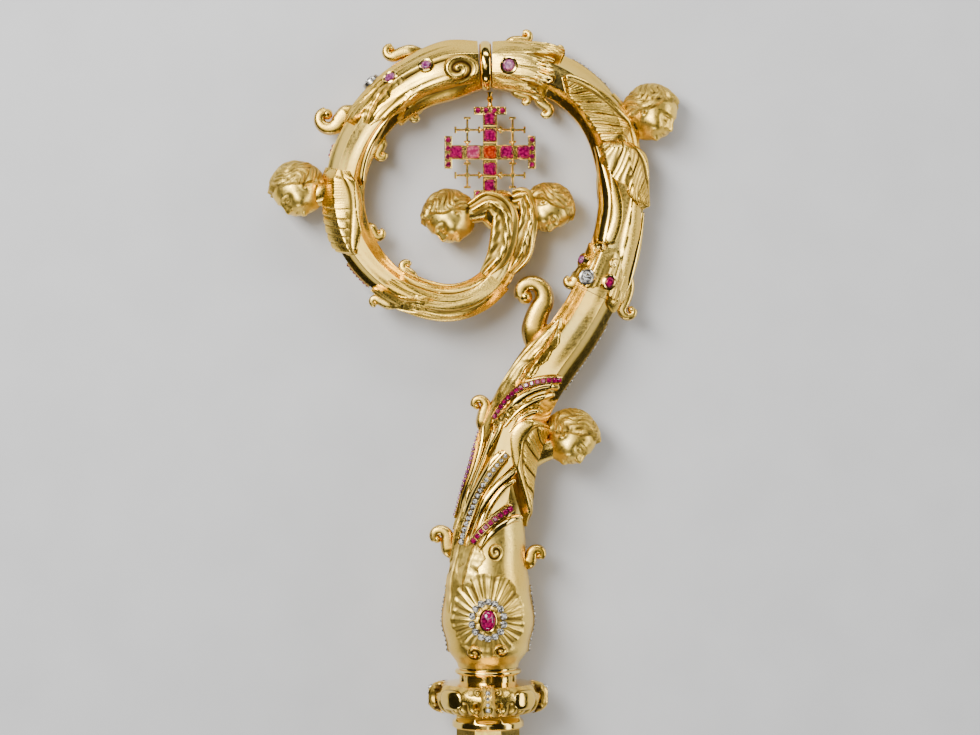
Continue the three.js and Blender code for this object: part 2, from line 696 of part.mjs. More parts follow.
// Coil of the crook, from the ring to its inner end.
function voluteBody(grow = 0) {
  const halfRing = (RING_WIDTH / 2 + GAP) / COURSE_LENGTH;
  const sheath = sleeve(
    RING_AT + 0.02,
    (angle) => RING_AT + 0.075 + wave(angle, 1, 0.03, -90) + wave(angle, 7, 0.012),
    (t, angle) => 1.1 + 0.7 * Math.sin(Math.PI * t) + wave(angle, 7, 0.5),
    3,
    21,
    grow,
  );
  const tips = [
    { at: 0.63, eye: 0.654, side: 1, out: 7.4, radius: 2.8, thick: 3.4 },
    { at: 0.694, eye: 0.714, side: 1, out: 7.2, radius: 5.2, thick: 4.8, wide: 8 },
    { at: 0.652, eye: 0.667, side: -1, out: 1.8, radius: 1.8, thick: 2.8, wide: 5 },
    { at: 0.7, eye: 0.719, side: -1, out: 2, radius: 2, thick: 3, wide: 5 },
    { at: 0.79, eye: 0.807, side: -1, out: 2, radius: 2, thick: 3, wide: 5 },
    { at: 0.872, eye: 0.852, side: -1, out: 2.4, radius: 2, thick: 3, wide: 5 },
    { at: 0.868, eye: 0.848, side: 1, out: 3.6, radius: 1.8, thick: 2.8, wide: 5 },
  ];
  return join(
    tube(RING_AT + halfRing, 0.9, FACES, grow),
    coilEnd(grow),
    sheath,
    tips.map((tip) => scroll(tip, grow)),
  );
}

// Ring at the top of the crook.
function crownRing() {
  const { centre, ahead } = station(RING_AT);
  const half = RING_WIDTH / 2;
  const bead = times(5, (i) => {
    const a = rad(lerp(-90, 90, i / 4));
    return [RING_RADIUS - half * 0.7 * (1 - Math.cos(a)), half * Math.sin(a)];
  });
  return turned([[0, -half], ...bead, [0, half]], 20).applyMatrix4(standing(centre, ahead, FRONT));
}

// Two cherubs back to back at the inner end of the coil, with wings that fold down over it.
const PAIR = station(1).centre.add(new THREE.Vector3(0.3, 4.2, 0).multiplyScalar(UNIT));
function cherubPair() {
  const place = (x, y) => PAIR.clone().add(new THREE.Vector3(x, y, 0).multiplyScalar(UNIT));
  const left = { head: place(-22.2, -4.4), crown: 150, look: 240, size: 0.97 };
  const right = { head: place(19, -0.6), crown: 17, look: 287, size: 0.9 };
  const trunk = new THREE.SphereGeometry(UNIT, 8, 6).scale(9, 9, 6.5).translate(...place(-1, -2));
  const necks = [left, right].map((h) => limb(PAIR, h.head, 5.6 * UNIT, 5.2 * UNIT));
  // A wing's middle, as offsets from the end of the coil, and its half width at each point.
  const wings = [
    [[-10, 0, 2.4], [-5, 2, 3.6], [0.5, -3, 5], [0.5, -12, 5.8], [-2, -21, 5], [-8, -29, 2.2]],
    [[4, 4, 2.6], [9, 4, 3.4], [11, -4, 4], [9.5, -13, 4.4], [8, -21, 3.8], [3, -28, 2]],
  ];
  const folded = wings.flatMap((points, k) =>
    [1, -1].map((face) => {
      const middle = new THREE.CatmullRomCurve3(points.map(([x, y]) => place(x, y)));
      const steps = 8;
      const rings = times(steps + 1, (i) => {
        const t = i / steps;
        const p = middle.getPointAt(t);
        const tangent = middle.getTangentAt(t);
        const across = new THREE.Vector3(-tangent.y, tangent.x, 0);
        const f = t * (points.length - 1);
        const n = Math.min(Math.floor(f), points.length - 2);
        const half = UNIT * lerp(points[n][2], points[n + 1][2], f - n);
        const depth = 3 + 4.2 * Math.sin(Math.PI * (0.25 + 0.6 * t)) - 1.2 * k + (i % 2 ? 0.5 : 0);
        return times(5, (j) => {
          const a = ((j + 0.25) * 2 * Math.PI) / 5;
          return p
            .clone()
            .addScaledVector(across, half * Math.cos(a))
            .addScaledVector(FRONT, face * UNIT * (depth + 1.7 * Math.sin(a)));
        });
      });
      return loft(rings);
    }),
  );
  const raw = join(trunk, necks, cherubHead(left), cherubHead(right), folded);
  const stonesToo = bar(0, 0, CROSS_BAR, CROSS_SPAN, CROSS_THICKNESS + 2 * STONE_RISE + 2 * GAP, GAP);
  return cut(raw, coilEnd(GAP), jerusalemCross(GAP), stonesToo);
}

// Cross of bars with an end bar on each arm and a small cross in each corner, hung from the ring by a
// turned pin. Its foot stands on the wings of the pair.
const RING_POINT = station(RING_AT).centre;
const CROSS_CENTRE = new THREE.Vector3(RING_POINT.x + 1.8, PAIR.y + 3.4 * UNIT + CROSS_SPAN / 2, 0);

// Bar of the cross, placed from the middle of the cross and made larger all round by grow.
function bar(x, y, width, height, depth, grow) {
  const sizes = [width, height, depth].map((d) => d + 2 * grow);
  return new THREE.BoxGeometry(...sizes).translate(CROSS_CENTRE.x + x, CROSS_CENTRE.y + y, 0);
}

// Small cross in one corner, its two bars running on to the arms of the large cross.
function crosslet(i, j, grow) {
  const thin = CROSSLET_BAR;
  const reach = CROSSLET_PLACE + CROSSLET_SPAN / 2;
  const middle = (reach + CROSS_BAR / 2 - 1) / 2;
  const length = reach - CROSS_BAR / 2 + 1;
  const [x, y] = [i * CROSSLET_PLACE, j * CROSSLET_PLACE];
  const tips = [-1, 1].flatMap((k) => [
    bar(x + (k * CROSSLET_SPAN) / 2, y, thin, 2.4 * thin, thin, grow),
    bar(x, y + (k * CROSSLET_SPAN) / 2, 2.4 * thin, thin, thin, grow),
  ]);
  const level = bar(i * middle, y, length, thin, thin, grow);
  const upright = bar(x, j * middle, thin, length, thin, grow);
  return [level, upright, ...tips];
}

function jerusalemCross(grow = 0) {
  const half = CROSS_SPAN / 2;
  const thick = CROSS_THICKNESS;
  const at = half - CROSS_CAP / 2;
  const caps = [-1, 1].flatMap((k) => [
    bar(k * at, 0, CROSS_CAP, CROSS_END, thick, grow),
    bar(0, k * at, CROSS_END, CROSS_CAP, thick, grow),
  ]);
  const arms = [
    bar(0, 0, CROSS_SPAN, CROSS_BAR, thick, grow),
    bar(0, 0, CROSS_BAR, CROSS_SPAN, thick, grow),
  ];
  const corners = [1, -1].flatMap((i) => [crosslet(i, 1, grow), crosslet(i, -1, grow)]);
  const top = CROSS_CENTRE.y + half;
  const pinLength = RING_POINT.y - RING_RADIUS - GAP - top;
  const pin = [
    [0, -1],
    [1.5, -1],
    [1.5, 0.15 * pinLength],
    [0.8, 0.3 * pinLength],
    [1.5, 0.5 * pinLength],
    [0.8, 0.75 * pinLength],
    [1.3, pinLength],
    [0, pinLength],
  ];
  return join(arms, caps, corners, latheY(pin, 8).translate(CROSS_CENTRE.x, top, 0));
}

// Stones of the cross: one at its middle and two along each arm.
const ARMS = [["right", 1, 0], ["left", -1, 0], ["top", 0, 1], ["bottom", 0, -1]];
const ARM_STONES = ARMS.flatMap(([arm, x, y]) => [1, 2].map((n) => [arm + "_" + n, n * x, n * y]));
const CROSS_STONES = [["centre", 0, 0], ...ARM_STONES];

function crossStone([, x, y]) {
  const pitch = (CROSS_SPAN / 2 - CROSS_CAP - CROSS_BAR / 2) / 2 + 0.6;
  const foot = CROSS_THICKNESS / 2 + GAP;
  return disc([CROSS_STONE, CROSS_STONE], foot, foot + STONE_RISE, 4, 0.7).translate(
    CROSS_CENTRE.x + x * pitch,
    CROSS_CENTRE.y + y * pitch,
    0,
  );
}

// Finishes
const GOLD = { color: 0xd9a441, metalness: 1, roughness: 0.25 };
const RUBY = { color: 0xb3124a, metalness: 0, roughness: 0.08 };
const PINK = { color: 0xc86ab0, metalness: 0, roughness: 0.08 };
const GARNET = { color: 0xc8341c, metalness: 0, roughness: 0.1 };
const DIAMOND = { color: 0xdfe3ea, metalness: 0, roughness: 0.05 };

const head = new THREE.Group();
function add(name, body, finish) {
  const geometry = body.isBufferGeometry ? body : geometryOf(body);
  const mesh = new THREE.Mesh(geometry, new THREE.MeshStandardMaterial(finish));
  mesh.name = name;
  head.add(mesh);
}

const STEM_SETTINGS = [
  { name: "bulb_ruby", at: BULB_STONE_AT, angle: 0, half: [3.2, 4.4], finish: RUBY, lift: 1.6, sides: 12 },
].map(setting);
const ARCH_SETTINGS = [
  { name: "calyx_ruby", at: 0.351, angle: -62, half: [1.9, 1.9], finish: RUBY, lift: 1.6 },
  { name: "calyx_diamond", at: 0.338, angle: -30, half: [2.5, 2.5], finish: DIAMOND, lift: 2.4 },
  { name: "calyx_garnet", at: 0.341, angle: 14, half: [1.9, 2.4], finish: RUBY, lift: 2.2 },
  { name: "arch_sapphire", at: 0.571, angle: -4, half: [2.7, 2.7], finish: PINK, lift: 1.5 },
  { name: "arch_edge_diamond", at: 0.411, angle: 90, half: [3, 3], finish: DIAMOND, lift: 0.4 },
].map(setting);
const VOLUTE_SETTINGS = [
  { name: "volute_sapphire_upper", at: 0.637, angle: 18, half: [1.9, 2.3], finish: PINK, lift: 1.9 },
  { name: "volute_sapphire_lower", at: 0.665, angle: 38, half: [2, 2.5], finish: PINK, lift: 1.6 },
  { name: "volute_edge_diamond", at: 0.677, angle: 90, half: [2.8, 2.8], finish: DIAMOND, lift: 1.4 },
].map(setting);

add("staff_socket", staffSocket(), GOLD);
add("knop", knop(), GOLD);
add("stem", join(stemBody(), STEM_SETTINGS.map((s) => s.collet)), GOLD);
const archWithCollets = join(archBody(), ARCH_SETTINGS.map((s) => s.collet));
add("arch", cut(archWithCollets, tube(0.25, CALYX_AT - GAP / COURSE_LENGTH, FACES, GAP)), GOLD);
add("crown_ring", crownRing(), GOLD);
add("volute", join(voluteBody(), VOLUTE_SETTINGS.map((s) => s.collet)), GOLD);

add(
  "cherub_stem",
  cut(
    cherub({
      at: 0.185,
      spread: 20,
      head: beside(0.211, 22.7),
      crown: 36,
      look: 306,
      wings: [{ line: [[0.2, 62], [0.18, 26], [0.118, 66]], width: 12, rise: 2.2, feathers: 5 }],
    }),
    stemBody(GAP),
  ),
  GOLD,
);
add(
  "cherub_upper",
  cut(
    cherub({
      at: 0.468,
      spread: 22,
      head: beside(0.4673, 19.6),
      crown: 63,
      look: 333,
      size: 1.04,
      wings: [
        { line: [[0.452, 52], [0.49, 25], [0.526, 4]], width: 13, rise: 2.2, feathers: 5 },
        { line: [[0.462, 50], [0.44, 34], [0.416, 42]], width: 11, rise: 2, feathers: 3 },
      ],
    }),
    tube(0.38, 0.54, FACES, GAP),
  ),
  GOLD,
);
add(
  "cherub_left",
  cut(
    cherub({
      at: 0.761,
      spread: 16,
      head: beside(0.761, 19.6),
      crown: 144,
      look: 234,
      wings: [{ line: [[0.747, 40], [0.77, 6], [0.815, 32]], width: 14, rise: 2, feathers: 5 }],
    }),
    tube(0.68, 0.85, FACES, GAP),
  ),
  GOLD,
);
add("cherub_pair", cherubPair(), GOLD);
add("jerusalem_cross", jerusalemCross(), GOLD);

for (const s of [...STEM_SETTINGS, ...ARCH_SETTINGS, ...VOLUTE_SETTINGS]) add(s.name, s.stone, s.finish);
for (const stone of CROSS_STONES) {
  add("cross_stone_" + stone[0], crossStone(stone), stone[0] === "centre" ? GARNET : RUBY);
}

const STRIPS = [
  ["ruby_row_upper", { line: UPPER_BAND.line, lift: UPPER_BAND.rise }, RUBY],
  ["diamond_row_middle", { line: MIDDLE_BAND.line, lift: MIDDLE_BAND.rise }, DIAMOND],
  ["ruby_row_lower", { line: LOWER_BAND.line, lift: LOWER_BAND.rise }, RUBY],
  ["diamond_row_bulb_left", { line: [[0.012, -90], [0.04, -90], [0.067, -90]], lift: 0 }, DIAMOND],
  ["diamond_row_bulb_right", { line: [[0.012, 90], [0.04, 90], [0.067, 90]], lift: 0 }, DIAMOND],
  ["diamond_row_stem_edge", { line: [[0.248, 90], [0.28, 90], [0.312, 90]], lift: 0 }, DIAMOND],
  ["pink_row_arch_edge", { line: [[0.381, 90], [0.39, 90], [0.401, 90]], lift: 0 }, PINK],
  ["diamond_row_arch_top", { line: [[0.493, 90], [0.51, 90], [0.526, 90]], lift: 0 }, DIAMOND],
  ["ruby_row_volute_edge", { line: [[0.728, 90], [0.733, 90], [0.738, 90]], lift: 0 }, RUBY],
  ["ruby_row_volute_foot", { line: [[0.815, 90], [0.825, 90], [0.838, 90]], lift: 0 }, RUBY],
];
for (const [name, row, finish] of STRIPS) add(name, strip(row), finish);

// Lays the head on its back: it tips about x and then about y until the ground bears it on both
// sides of its centre of mass.
function layDown(group) {
  const points = [];
  let [volume, cx, cy] = [0, 0, 0];
  for (const mesh of group.children) {
    const { min, max } = new THREE.Box3().setFromObject(mesh);
    const size = max.clone().sub(min);
    const mass = size.x * size.y * size.z;
    volume += mass;
    cx += (mass * (min.x + max.x)) / 2;
    cy += (mass * (min.y + max.y)) / 2;
    const p = mesh.geometry.getAttribute("position");
    for (let i = 0; i < p.count; i++) points.push(new THREE.Vector3().fromBufferAttribute(p, i));
  }
  const centre = new THREE.Vector3(cx / volume, cy / volume, 0);
  const turn = { x: 0, y: 0 };
  const lowest = () => {
    const m = new THREE.Matrix4().makeRotationFromEuler(new THREE.Euler(turn.x, turn.y, 0));
    const placed = points.map((p) => p.clone().applyMatrix4(m));
    return { foot: placed.reduce((a, b) => (b.z < a.z ? b : a)), centre: centre.clone().applyMatrix4(m) };
  };
  for (let pass = 0; pass < 4; pass++) {
    for (const axis of ["x", "y"]) {
      let [low, high] = [-0.2, 0.2];
      for (let i = 0; i < 24; i++) {
        turn[axis] = (low + high) / 2;
        const { foot, centre: c } = lowest();
        const tipped = axis === "x" ? foot.y > c.y : foot.x < c.x;
        if (tipped) low = turn[axis];
        else high = turn[axis];
      }
    }
  }
  group.rotation.set(turn.x, turn.y, 0);
  const { min, max } = new THREE.Box3().setFromObject(group, true);
  group.position.set(-(min.x + max.x) / 2, -(min.y + max.y) / 2, -min.z);
}
layDown(head);

export default head;
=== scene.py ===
"""A jewelled gold crosier head, lying on its back on a pale floor.

The head is drawn in its own plane in millimetres, x to the right, y up along the staff and z towards
the viewer, as its solids are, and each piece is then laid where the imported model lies.
"""

import math

import bpy
import numpy as np
from mathutils import Matrix, Vector


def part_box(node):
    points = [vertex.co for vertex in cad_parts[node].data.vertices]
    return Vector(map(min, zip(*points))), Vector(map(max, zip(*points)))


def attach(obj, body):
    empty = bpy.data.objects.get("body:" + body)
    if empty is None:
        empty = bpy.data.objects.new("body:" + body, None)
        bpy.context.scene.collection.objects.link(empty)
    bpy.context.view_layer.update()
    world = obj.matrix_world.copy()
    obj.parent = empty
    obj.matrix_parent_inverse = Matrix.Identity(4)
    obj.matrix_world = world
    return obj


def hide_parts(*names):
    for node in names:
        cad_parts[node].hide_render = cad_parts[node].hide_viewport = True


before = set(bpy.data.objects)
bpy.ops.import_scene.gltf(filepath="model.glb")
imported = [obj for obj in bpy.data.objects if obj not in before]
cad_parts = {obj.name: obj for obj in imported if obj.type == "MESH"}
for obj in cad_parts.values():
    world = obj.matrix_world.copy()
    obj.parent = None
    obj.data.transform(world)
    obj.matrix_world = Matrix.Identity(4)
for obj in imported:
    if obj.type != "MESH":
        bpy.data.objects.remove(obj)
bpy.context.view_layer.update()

# Sizes in millimetres and shares of the course, as in the solids.
NECK_TOP = 59.5
COURSE_WIDTH = 116.6
STRAIGHT_SHARE = 0.286
ARCS = [
    (1.921, -10.8),
    (1.158, -27.5),
    (1.072, 24.6),
    (0.623, 33.2),
    (0.391, 60.1),
    (0.722, 19.7),
    (0.509, 58.7),
    (0.387, 52.7),
    (0.408, 48.9),
    (0.22, 91),
    (0.217, 35.2),
]
BULB, STEM, CROOK, TIP = 19.3, 12.4, 10.3, 5.2
CALYX_AT, RING_AT = 0.328, 0.59
FACES = 8
SOCKET_LENGTH, SOCKET_RADIUS, SOCKET_WALL = 40, 14.3, 1.8
KNOP_RADIUS, KNOP_HEIGHT, KNOP_MOUNT = 22.5, 13.5, 3.6
NECK_RADIUS, NECK_HEIGHT = 12.2, 6
RING_RADIUS, RING_WIDTH = 10.6, 5
HEAD_RADIUS = 11.6
CROSS_SPAN, CROSS_BAR, CROSS_THICKNESS = 38.6, 6, 4
CROSS_END, CROSS_CAP = 13.8, 3.3
CROSSLET_SPAN, CROSSLET_PLACE = 10, 9.6
GAP = 0.3
BULB_STONE_AT = 0.0415

# Sizes of the visual model alone.
COURSE_STEP = 0.1
SATIN_UP_TO = 0.125  # share of the course below which the tube is satin
TUBE_STEP, TUBE_HOLLOW = 1.5, 0.14
SHARP_ANGLE = 32
SKIRT = 1.6  # how deep a patch's edges go into the tube
STRIP_HALF, STONE_GAP = 1.3, 0.25
COLLET_HEIGHT, COLLET_WALL = 1.3, 1.15
HEAD_SHARE, HEAD_TURN = 0.975, 26  # a dressed head against its solid, and its face's turn to the front


def mix(a, b, t):
    return a + (b - a) * t


GIRTH = np.array(
    [
        (0, 0.66 * BULB),
        (0.016, 0.88 * BULB),
        (0.038, BULB),
        (0.066, 0.91 * BULB),
        (0.098, 0.79 * BULB),
        (0.13, 1.1 * STEM),
        (0.18, STEM),
        (0.25, 0.95 * STEM),
        (0.32, 1.04 * CROOK),
        (0.37, CROOK),
        (0.54, CROOK),
        (0.59, 0.9 * CROOK),
        (0.62, 1.1 * CROOK),
        (0.655, 0.97 * CROOK),
        (0.72, 0.9 * CROOK),
        (0.79, mix(TIP, CROOK, 0.66)),
        (0.86, mix(TIP, CROOK, 0.38)),
        (0.95, mix(TIP, CROOK, 0.22)),
        (1, TIP),
    ]
)


def smooth(x, low=0.0, high=1.0):
    t = np.clip((np.asarray(x, float) - low) / (high - low), 0, 1)
    return t * t * (3 - 2 * t)


def bump(x, centre, width):
    return np.exp(-(((x - centre) / width) ** 2))


def unit(vectors):
    return vectors / np.linalg.norm(vectors, axis=-1, keepdims=True)


def pointing(degrees, z=0.0):
    """Direction in the head's plane, with a part z towards the front."""
    return np.array([math.cos(math.radians(degrees)), math.sin(math.radians(degrees)), z])


def dome(x):
    """Half circle over x from -1 to 1."""
    return np.sqrt(np.clip(1 - x**2, 0, 1))


def boxy(x, power):
    """Sine or cosine drawn out towards a square by a power below 1."""
    return np.sign(x) * np.abs(x) ** power


def down(n, low=0.0, high=1.0):
    """Even steps down the rows of a grid."""
    return np.linspace(low, high, n)[:, None]


def over(n, low=0.0, high=1.0):
    """Even steps over the columns of a grid."""
    return np.linspace(low, high, n)[None, :]


def circle(n):
    return np.linspace(0, 2 * np.pi, n, endpoint=False)


def walk_course():
    """Points along the centre line: distance, x, y and heading."""
    pieces = [(STRAIGHT_SHARE * COURSE_WIDTH, 0.0)]
    for share, turn in ARCS:
        length = share * COURSE_WIDTH * math.radians(abs(turn))
        pieces.append((length, math.radians(turn) / length))
    s, x, y, heading = 0.0, 0.0, NECK_TOP, math.pi / 2
    rows = [(s, x, y, heading)]
    for length, bend in pieces:
        n = math.ceil(length / COURSE_STEP)
        for _ in range(n):
            heading += bend * length / n / 2
            x += length / n * math.cos(heading)
            y += length / n * math.sin(heading)
            heading += bend * length / n / 2
            s += length / n
            rows.append((s, x, y, heading))
    return np.array(rows).T


COURSE_S, COURSE_X, COURSE_Y, COURSE_H = walk_course()
LENGTH = COURSE_S[-1]


def station(share):
    """Centre, direction of travel and outward side at shares of the course."""
    s = np.asarray(share, float) * LENGTH
    h = np.interp(s, COURSE_S, COURSE_H)
    zero = np.zeros_like(h)
    centre = np.stack([np.interp(s, COURSE_S, COURSE_X), np.interp(s, COURSE_S, COURSE_Y), zero], -1)
    return centre, np.stack([np.cos(h), np.sin(h), zero], -1), np.stack([np.sin(h), -np.cos(h), zero], -1)


def girth(share):
    share = np.clip(share, 0, 1)
    i = np.clip(np.searchsorted(GIRTH[:, 0], share, side="right") - 1, 0, len(GIRTH) - 2)
    low, high = GIRTH[i], GIRTH[i + 1]
    t = np.clip((share - low[..., 0]) / (high[..., 0] - low[..., 0]), 0, 1)
    return low[..., 1] + (high[..., 1] - low[..., 1]) * t * t * (3 - 2 * t)


FRONT = np.array([0.0, 0.0, 1.0])
ARC_OF_RIM = np.linspace(-0.5, 0.5, 17) * np.pi
PAIR = station(1)[0] + [0.3, 4.2, 0]


def on_tube(share, angle, lift=0.0, hollow=0.0):
    """Points on the tube, round at the bulb: angle 0 faces front and 90 away from the coil."""
    share, angle, lift = np.broadcast_arrays(*(np.asarray(a, float) for a in (share, angle, lift)))
    share = np.clip(share, 0, 1)
    centre, _, outer = station(share)
    half = 180 / FACES
    local = np.radians((angle + half) % (2 * half) - half)
    flat = math.cos(math.radians(half)) / np.cos(local)
    roundness = 1 - smooth(share, 0.1, 0.16)
    dish = hollow * (1 - roundness) * np.cos(local * 90 / half) ** 2
    radius = girth(share) * (flat + (1 - flat) * roundness) - dish + lift
    a = np.radians(angle)
    return centre + outer * (radius * np.sin(a))[..., None] + FRONT * (radius * np.cos(a))[..., None]


# Meshes

POLISHED, SATIN, SOFT, SKIN, SILVER, EDGE, STONE = range(7)


class Piece:
    """One Blender object being gathered: points, faces, and the finish and the painted shade of each."""

    def __init__(self):
        self.points, self.shades, self.quads, self.tris = [], [], [], []
        self.count = 0

    def add(self, points, faces, finish, shade=None, flat=False):
        points = np.asarray(points, float).reshape(-1, 3)
        faces = np.asarray(faces, int)
        shade = np.ones(len(points)) if shade is None else np.broadcast_to(shade, len(points))
        keep = self.quads if faces.shape[1] == 4 else self.tris
        keep.append((faces + self.count, finish, flat))
        self.points.append(points)
        self.shades.append(shade)
        self.count += len(points)

    def grid(self, points, finish, shade=None, wrap_rows=False, wrap_columns=False, flip=False):
        """Surface through a grid of points."""
        rows, columns = points.shape[:2]
        i = np.arange(rows if wrap_rows else rows - 1)[:, None]
        j = np.arange(columns if wrap_columns else columns - 1)[None, :]
        i2, j2 = (i + 1) % rows, (j + 1) % columns
        faces = np.stack([i * columns + j, i2 * columns + j, i2 * columns + j2, i * columns + j2], -1)
        faces = faces.reshape(-1, 4)
        shade = None if shade is None else np.broadcast_to(shade, (rows, columns)).ravel()
        self.add(points, faces[:, ::-1] if flip else faces, finish, shade)

    def build(self, name):
        mesh = bpy.data.meshes.new(name)
        points = np.concatenate(self.points)
        groups = self.quads + self.tris
        corners = np.concatenate([faces.ravel() for faces, _, _ in groups])
        sizes = np.concatenate([np.full(len(faces), faces.shape[1]) for faces, _, _ in groups])
        mesh.vertices.add(len(points))
        mesh.vertices.foreach_set("co", lay(points).ravel())
        mesh.loops.add(len(corners))
        mesh.loops.foreach_set("vertex_index", corners)
        mesh.polygons.add(len(sizes))
        mesh.polygons.foreach_set("loop_start", np.concatenate([[0], np.cumsum(sizes)[:-1]]))
        mesh.polygons.foreach_set("loop_total", sizes)
        finishes = np.concatenate([np.full(len(faces), finish) for faces, finish, _ in groups])
        used = np.unique(finishes)
        for finish in used:
            mesh.materials.append(MATERIALS[finish])
        mesh.polygons.foreach_set("material_index", np.searchsorted(used, finishes))
        flat = np.concatenate([np.full(len(faces), f) for faces, _, f in groups])
        mesh.polygons.foreach_set("use_smooth", ~flat)
        # Painted shade of each point, which the metals read to darken their colour.
        attribute = mesh.attributes.new("shade", "FLOAT", "POINT")
        attribute.data.foreach_set("value", np.concatenate(self.shades))
        mesh.update(calc_edges=True)
        mesh.validate()
        mesh.set_sharp_from_angle(angle=math.radians(SHARP_ANGLE))
        obj = bpy.data.objects.new(name, mesh)
        bpy.context.scene.collection.objects.link(obj)
        return obj


def middle(node):
    low, high = (np.array(corner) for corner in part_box(node))
    return (low + high) / 2


def find_placing():
    """How the head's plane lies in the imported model: the cross's outer stones give its axes."""
    x = unit(middle("cross_stone_right_2") - middle("cross_stone_left_2"))
    y = middle("cross_stone_top_2") - middle("cross_stone_bottom_2")
    y = unit(y - x * (x @ y))
    turn = np.stack([x, y, np.cross(x, y)], -1)
    return turn, middle("crown_ring") - turn @ station(RING_AT)[0] / 1000


TURN, PLACE = find_placing()
CROSS_MIDDLE = np.array([station(RING_AT)[0][0] + 1.8, PAIR[1] + 3.4 + CROSS_SPAN / 2, 0])


def lay(points):
    """Millimetres in the head's plane, as metres in the frame."""
    return points @ TURN.T / 1000 + PLACE


# Materials


def new_material(name):
    material = bpy.data.materials.new(name)
    material.use_nodes = True
    tree = material.node_tree
    shader = tree.nodes["Principled BSDF"]
    return material, tree, shader


def node(tree, kind, **values):
    made = tree.nodes.new(kind)
    for key, value in values.items():
        if key in made.inputs:
            made.inputs[key].default_value = value
        else:
            setattr(made, key, value)
    return made


def texture(tree, kind, **values):
    """Texture in the object's own coordinates."""
    made = node(tree, kind, **values)
    tree.links.new(node(tree, "ShaderNodeTexCoord").outputs["Object"], made.inputs["Vector"])
    return made


def scaled(tree, source, low, high, from_low=0.0, from_high=1.0):
    made = node(tree, "ShaderNodeMapRange")
    made.inputs["From Min"].default_value = from_low
    made.inputs["From Max"].default_value = from_high
    made.inputs["To Min"].default_value = low
    made.inputs["To Max"].default_value = high
    tree.links.new(source, made.inputs["Value"])
    return made.outputs["Result"]


def ramp(tree, source, low, high, colours):
    """Blend of two colours between a low and a high value of the source."""
    blend = node(tree, "ShaderNodeMix", data_type="RGBA")
    blend.inputs["A"].default_value = (*colours[0], 1)
    blend.inputs["B"].default_value = (*colours[1], 1)
    tree.links.new(scaled(tree, source, 0.0, 1.0, low, high), blend.inputs["Factor"])
    return blend.outputs["Result"]


def metal(name, bright, warm, deep, rough, grain, fineness):
    """Metal with painted shade, darkened in hollows, creases and grooves where the shade attribute is low,
    with a patchy tone, fine wear and a chased grain.
    """
    material, tree, shader = new_material(name)
    patches = texture(tree, "ShaderNodeTexNoise", Scale=55.0, Detail=3.0)
    fine = texture(tree, "ShaderNodeTexNoise", Scale=fineness, Detail=4.0)
    tone = ramp(tree, patches.outputs["Fac"], 0.35, 0.65, [warm, bright])
    shade = node(tree, "ShaderNodeAttribute", attribute_name="shade").outputs["Fac"]
    # Painted shade: the colour mixes towards the dark shade colour where the shade attribute is low.
    hollow = node(tree, "ShaderNodeMix", data_type="RGBA")
    hollow.inputs["A"].default_value = (*deep, 1)
    tree.links.new(tone, hollow.inputs["B"])
    tree.links.new(scaled(tree, shade, 0.0, 1.0, 0.12, 0.92), hollow.inputs["Factor"])
    tree.links.new(hollow.outputs["Result"], shader.inputs["Base Color"])
    shader.inputs["Metallic"].default_value = 1
    wear = scaled(tree, fine.outputs["Fac"], rough * 0.75, rough * 1.3, 0.3, 0.7)
    dull = node(tree, "ShaderNodeMath", operation="ADD")
    tree.links.new(wear, dull.inputs[0])
    tree.links.new(scaled(tree, shade, 0.3, 0.0), dull.inputs[1])
    tree.links.new(dull.outputs[0], shader.inputs["Roughness"])
    relief = node(tree, "ShaderNodeBump", Strength=grain, Distance=0.0002)
    tree.links.new(fine.outputs["Fac"], relief.inputs["Height"])
    tree.links.new(relief.outputs["Normal"], shader.inputs["Normal"])
    return material


def stone_material(name, light, dark, through, noisy_glints=False):
    """Cut stone with painted glints: light and dark patches in its colour stand for the sparkle and dark
    reflections of its facets.
    """
    material, tree, shader = new_material(name)
    if noisy_glints:
        glint_patches = texture(tree, "ShaderNodeTexNoise", Scale=1300.0, Detail=1.0)
        shine = ramp(tree, glint_patches.outputs["Fac"], 0.44, 0.56, [dark, light])
    else:
        glint_patches = texture(tree, "ShaderNodeTexVoronoi", Scale=900.0)
        shine = ramp(tree, glint_patches.outputs["Distance"], 0.1, 0.75, [light, dark])
    tree.links.new(shine, shader.inputs["Base Color"])
    shader.inputs["Roughness"].default_value = 0.04
    shader.inputs["IOR"].default_value = 1.77
    shader.inputs["Transmission Weight"].default_value = through
    return material


# In the order of the finishes: name, bright and warm colours, the dark colour painted as shade in hollows
# and creases, roughness, and the grain's strength and fineness.
METALS = [
    ("polished_gold", (1.0, 0.72, 0.19), (0.96, 0.62, 0.11), (0.06, 0.027, 0.005), 0.13, 0.02, 900.0),
    ("satin_gold", (1.0, 0.68, 0.14), (0.88, 0.54, 0.07), (0.045, 0.02, 0.004), 0.24, 0.16, 1500.0),
    ("soft_gold", (1.0, 0.71, 0.16), (0.94, 0.60, 0.09), (0.05, 0.023, 0.005), 0.2, 0.06, 1100.0),
    ("brushed_gold", (1.0, 0.71, 0.16), (0.92, 0.60, 0.1), (0.05, 0.023, 0.005), 0.34, 0.1, 1300.0),
    ("silver", (0.72, 0.68, 0.60), (0.42, 0.40, 0.36), (0.02, 0.018, 0.015), 0.22, 0.15, 1800.0),
    ("dark_gold", (0.55, 0.38, 0.14), (0.34, 0.22, 0.07), (0.02, 0.012, 0.004), 0.22, 0.1, 1500.0),
]
MATERIALS = [metal(*row) for row in METALS] + [None]
RUBY = stone_material("ruby_stone", (0.58, 0.004, 0.14), (0.13, 0.0, 0.035), 0.3)
PINK = stone_material("pink_stone", (0.74, 0.24, 0.52), (0.20, 0.02, 0.14), 0.4)
PALE = stone_material("pale_ruby_stone", (0.85, 0.22, 0.34), (0.42, 0.03, 0.12), 0.4)
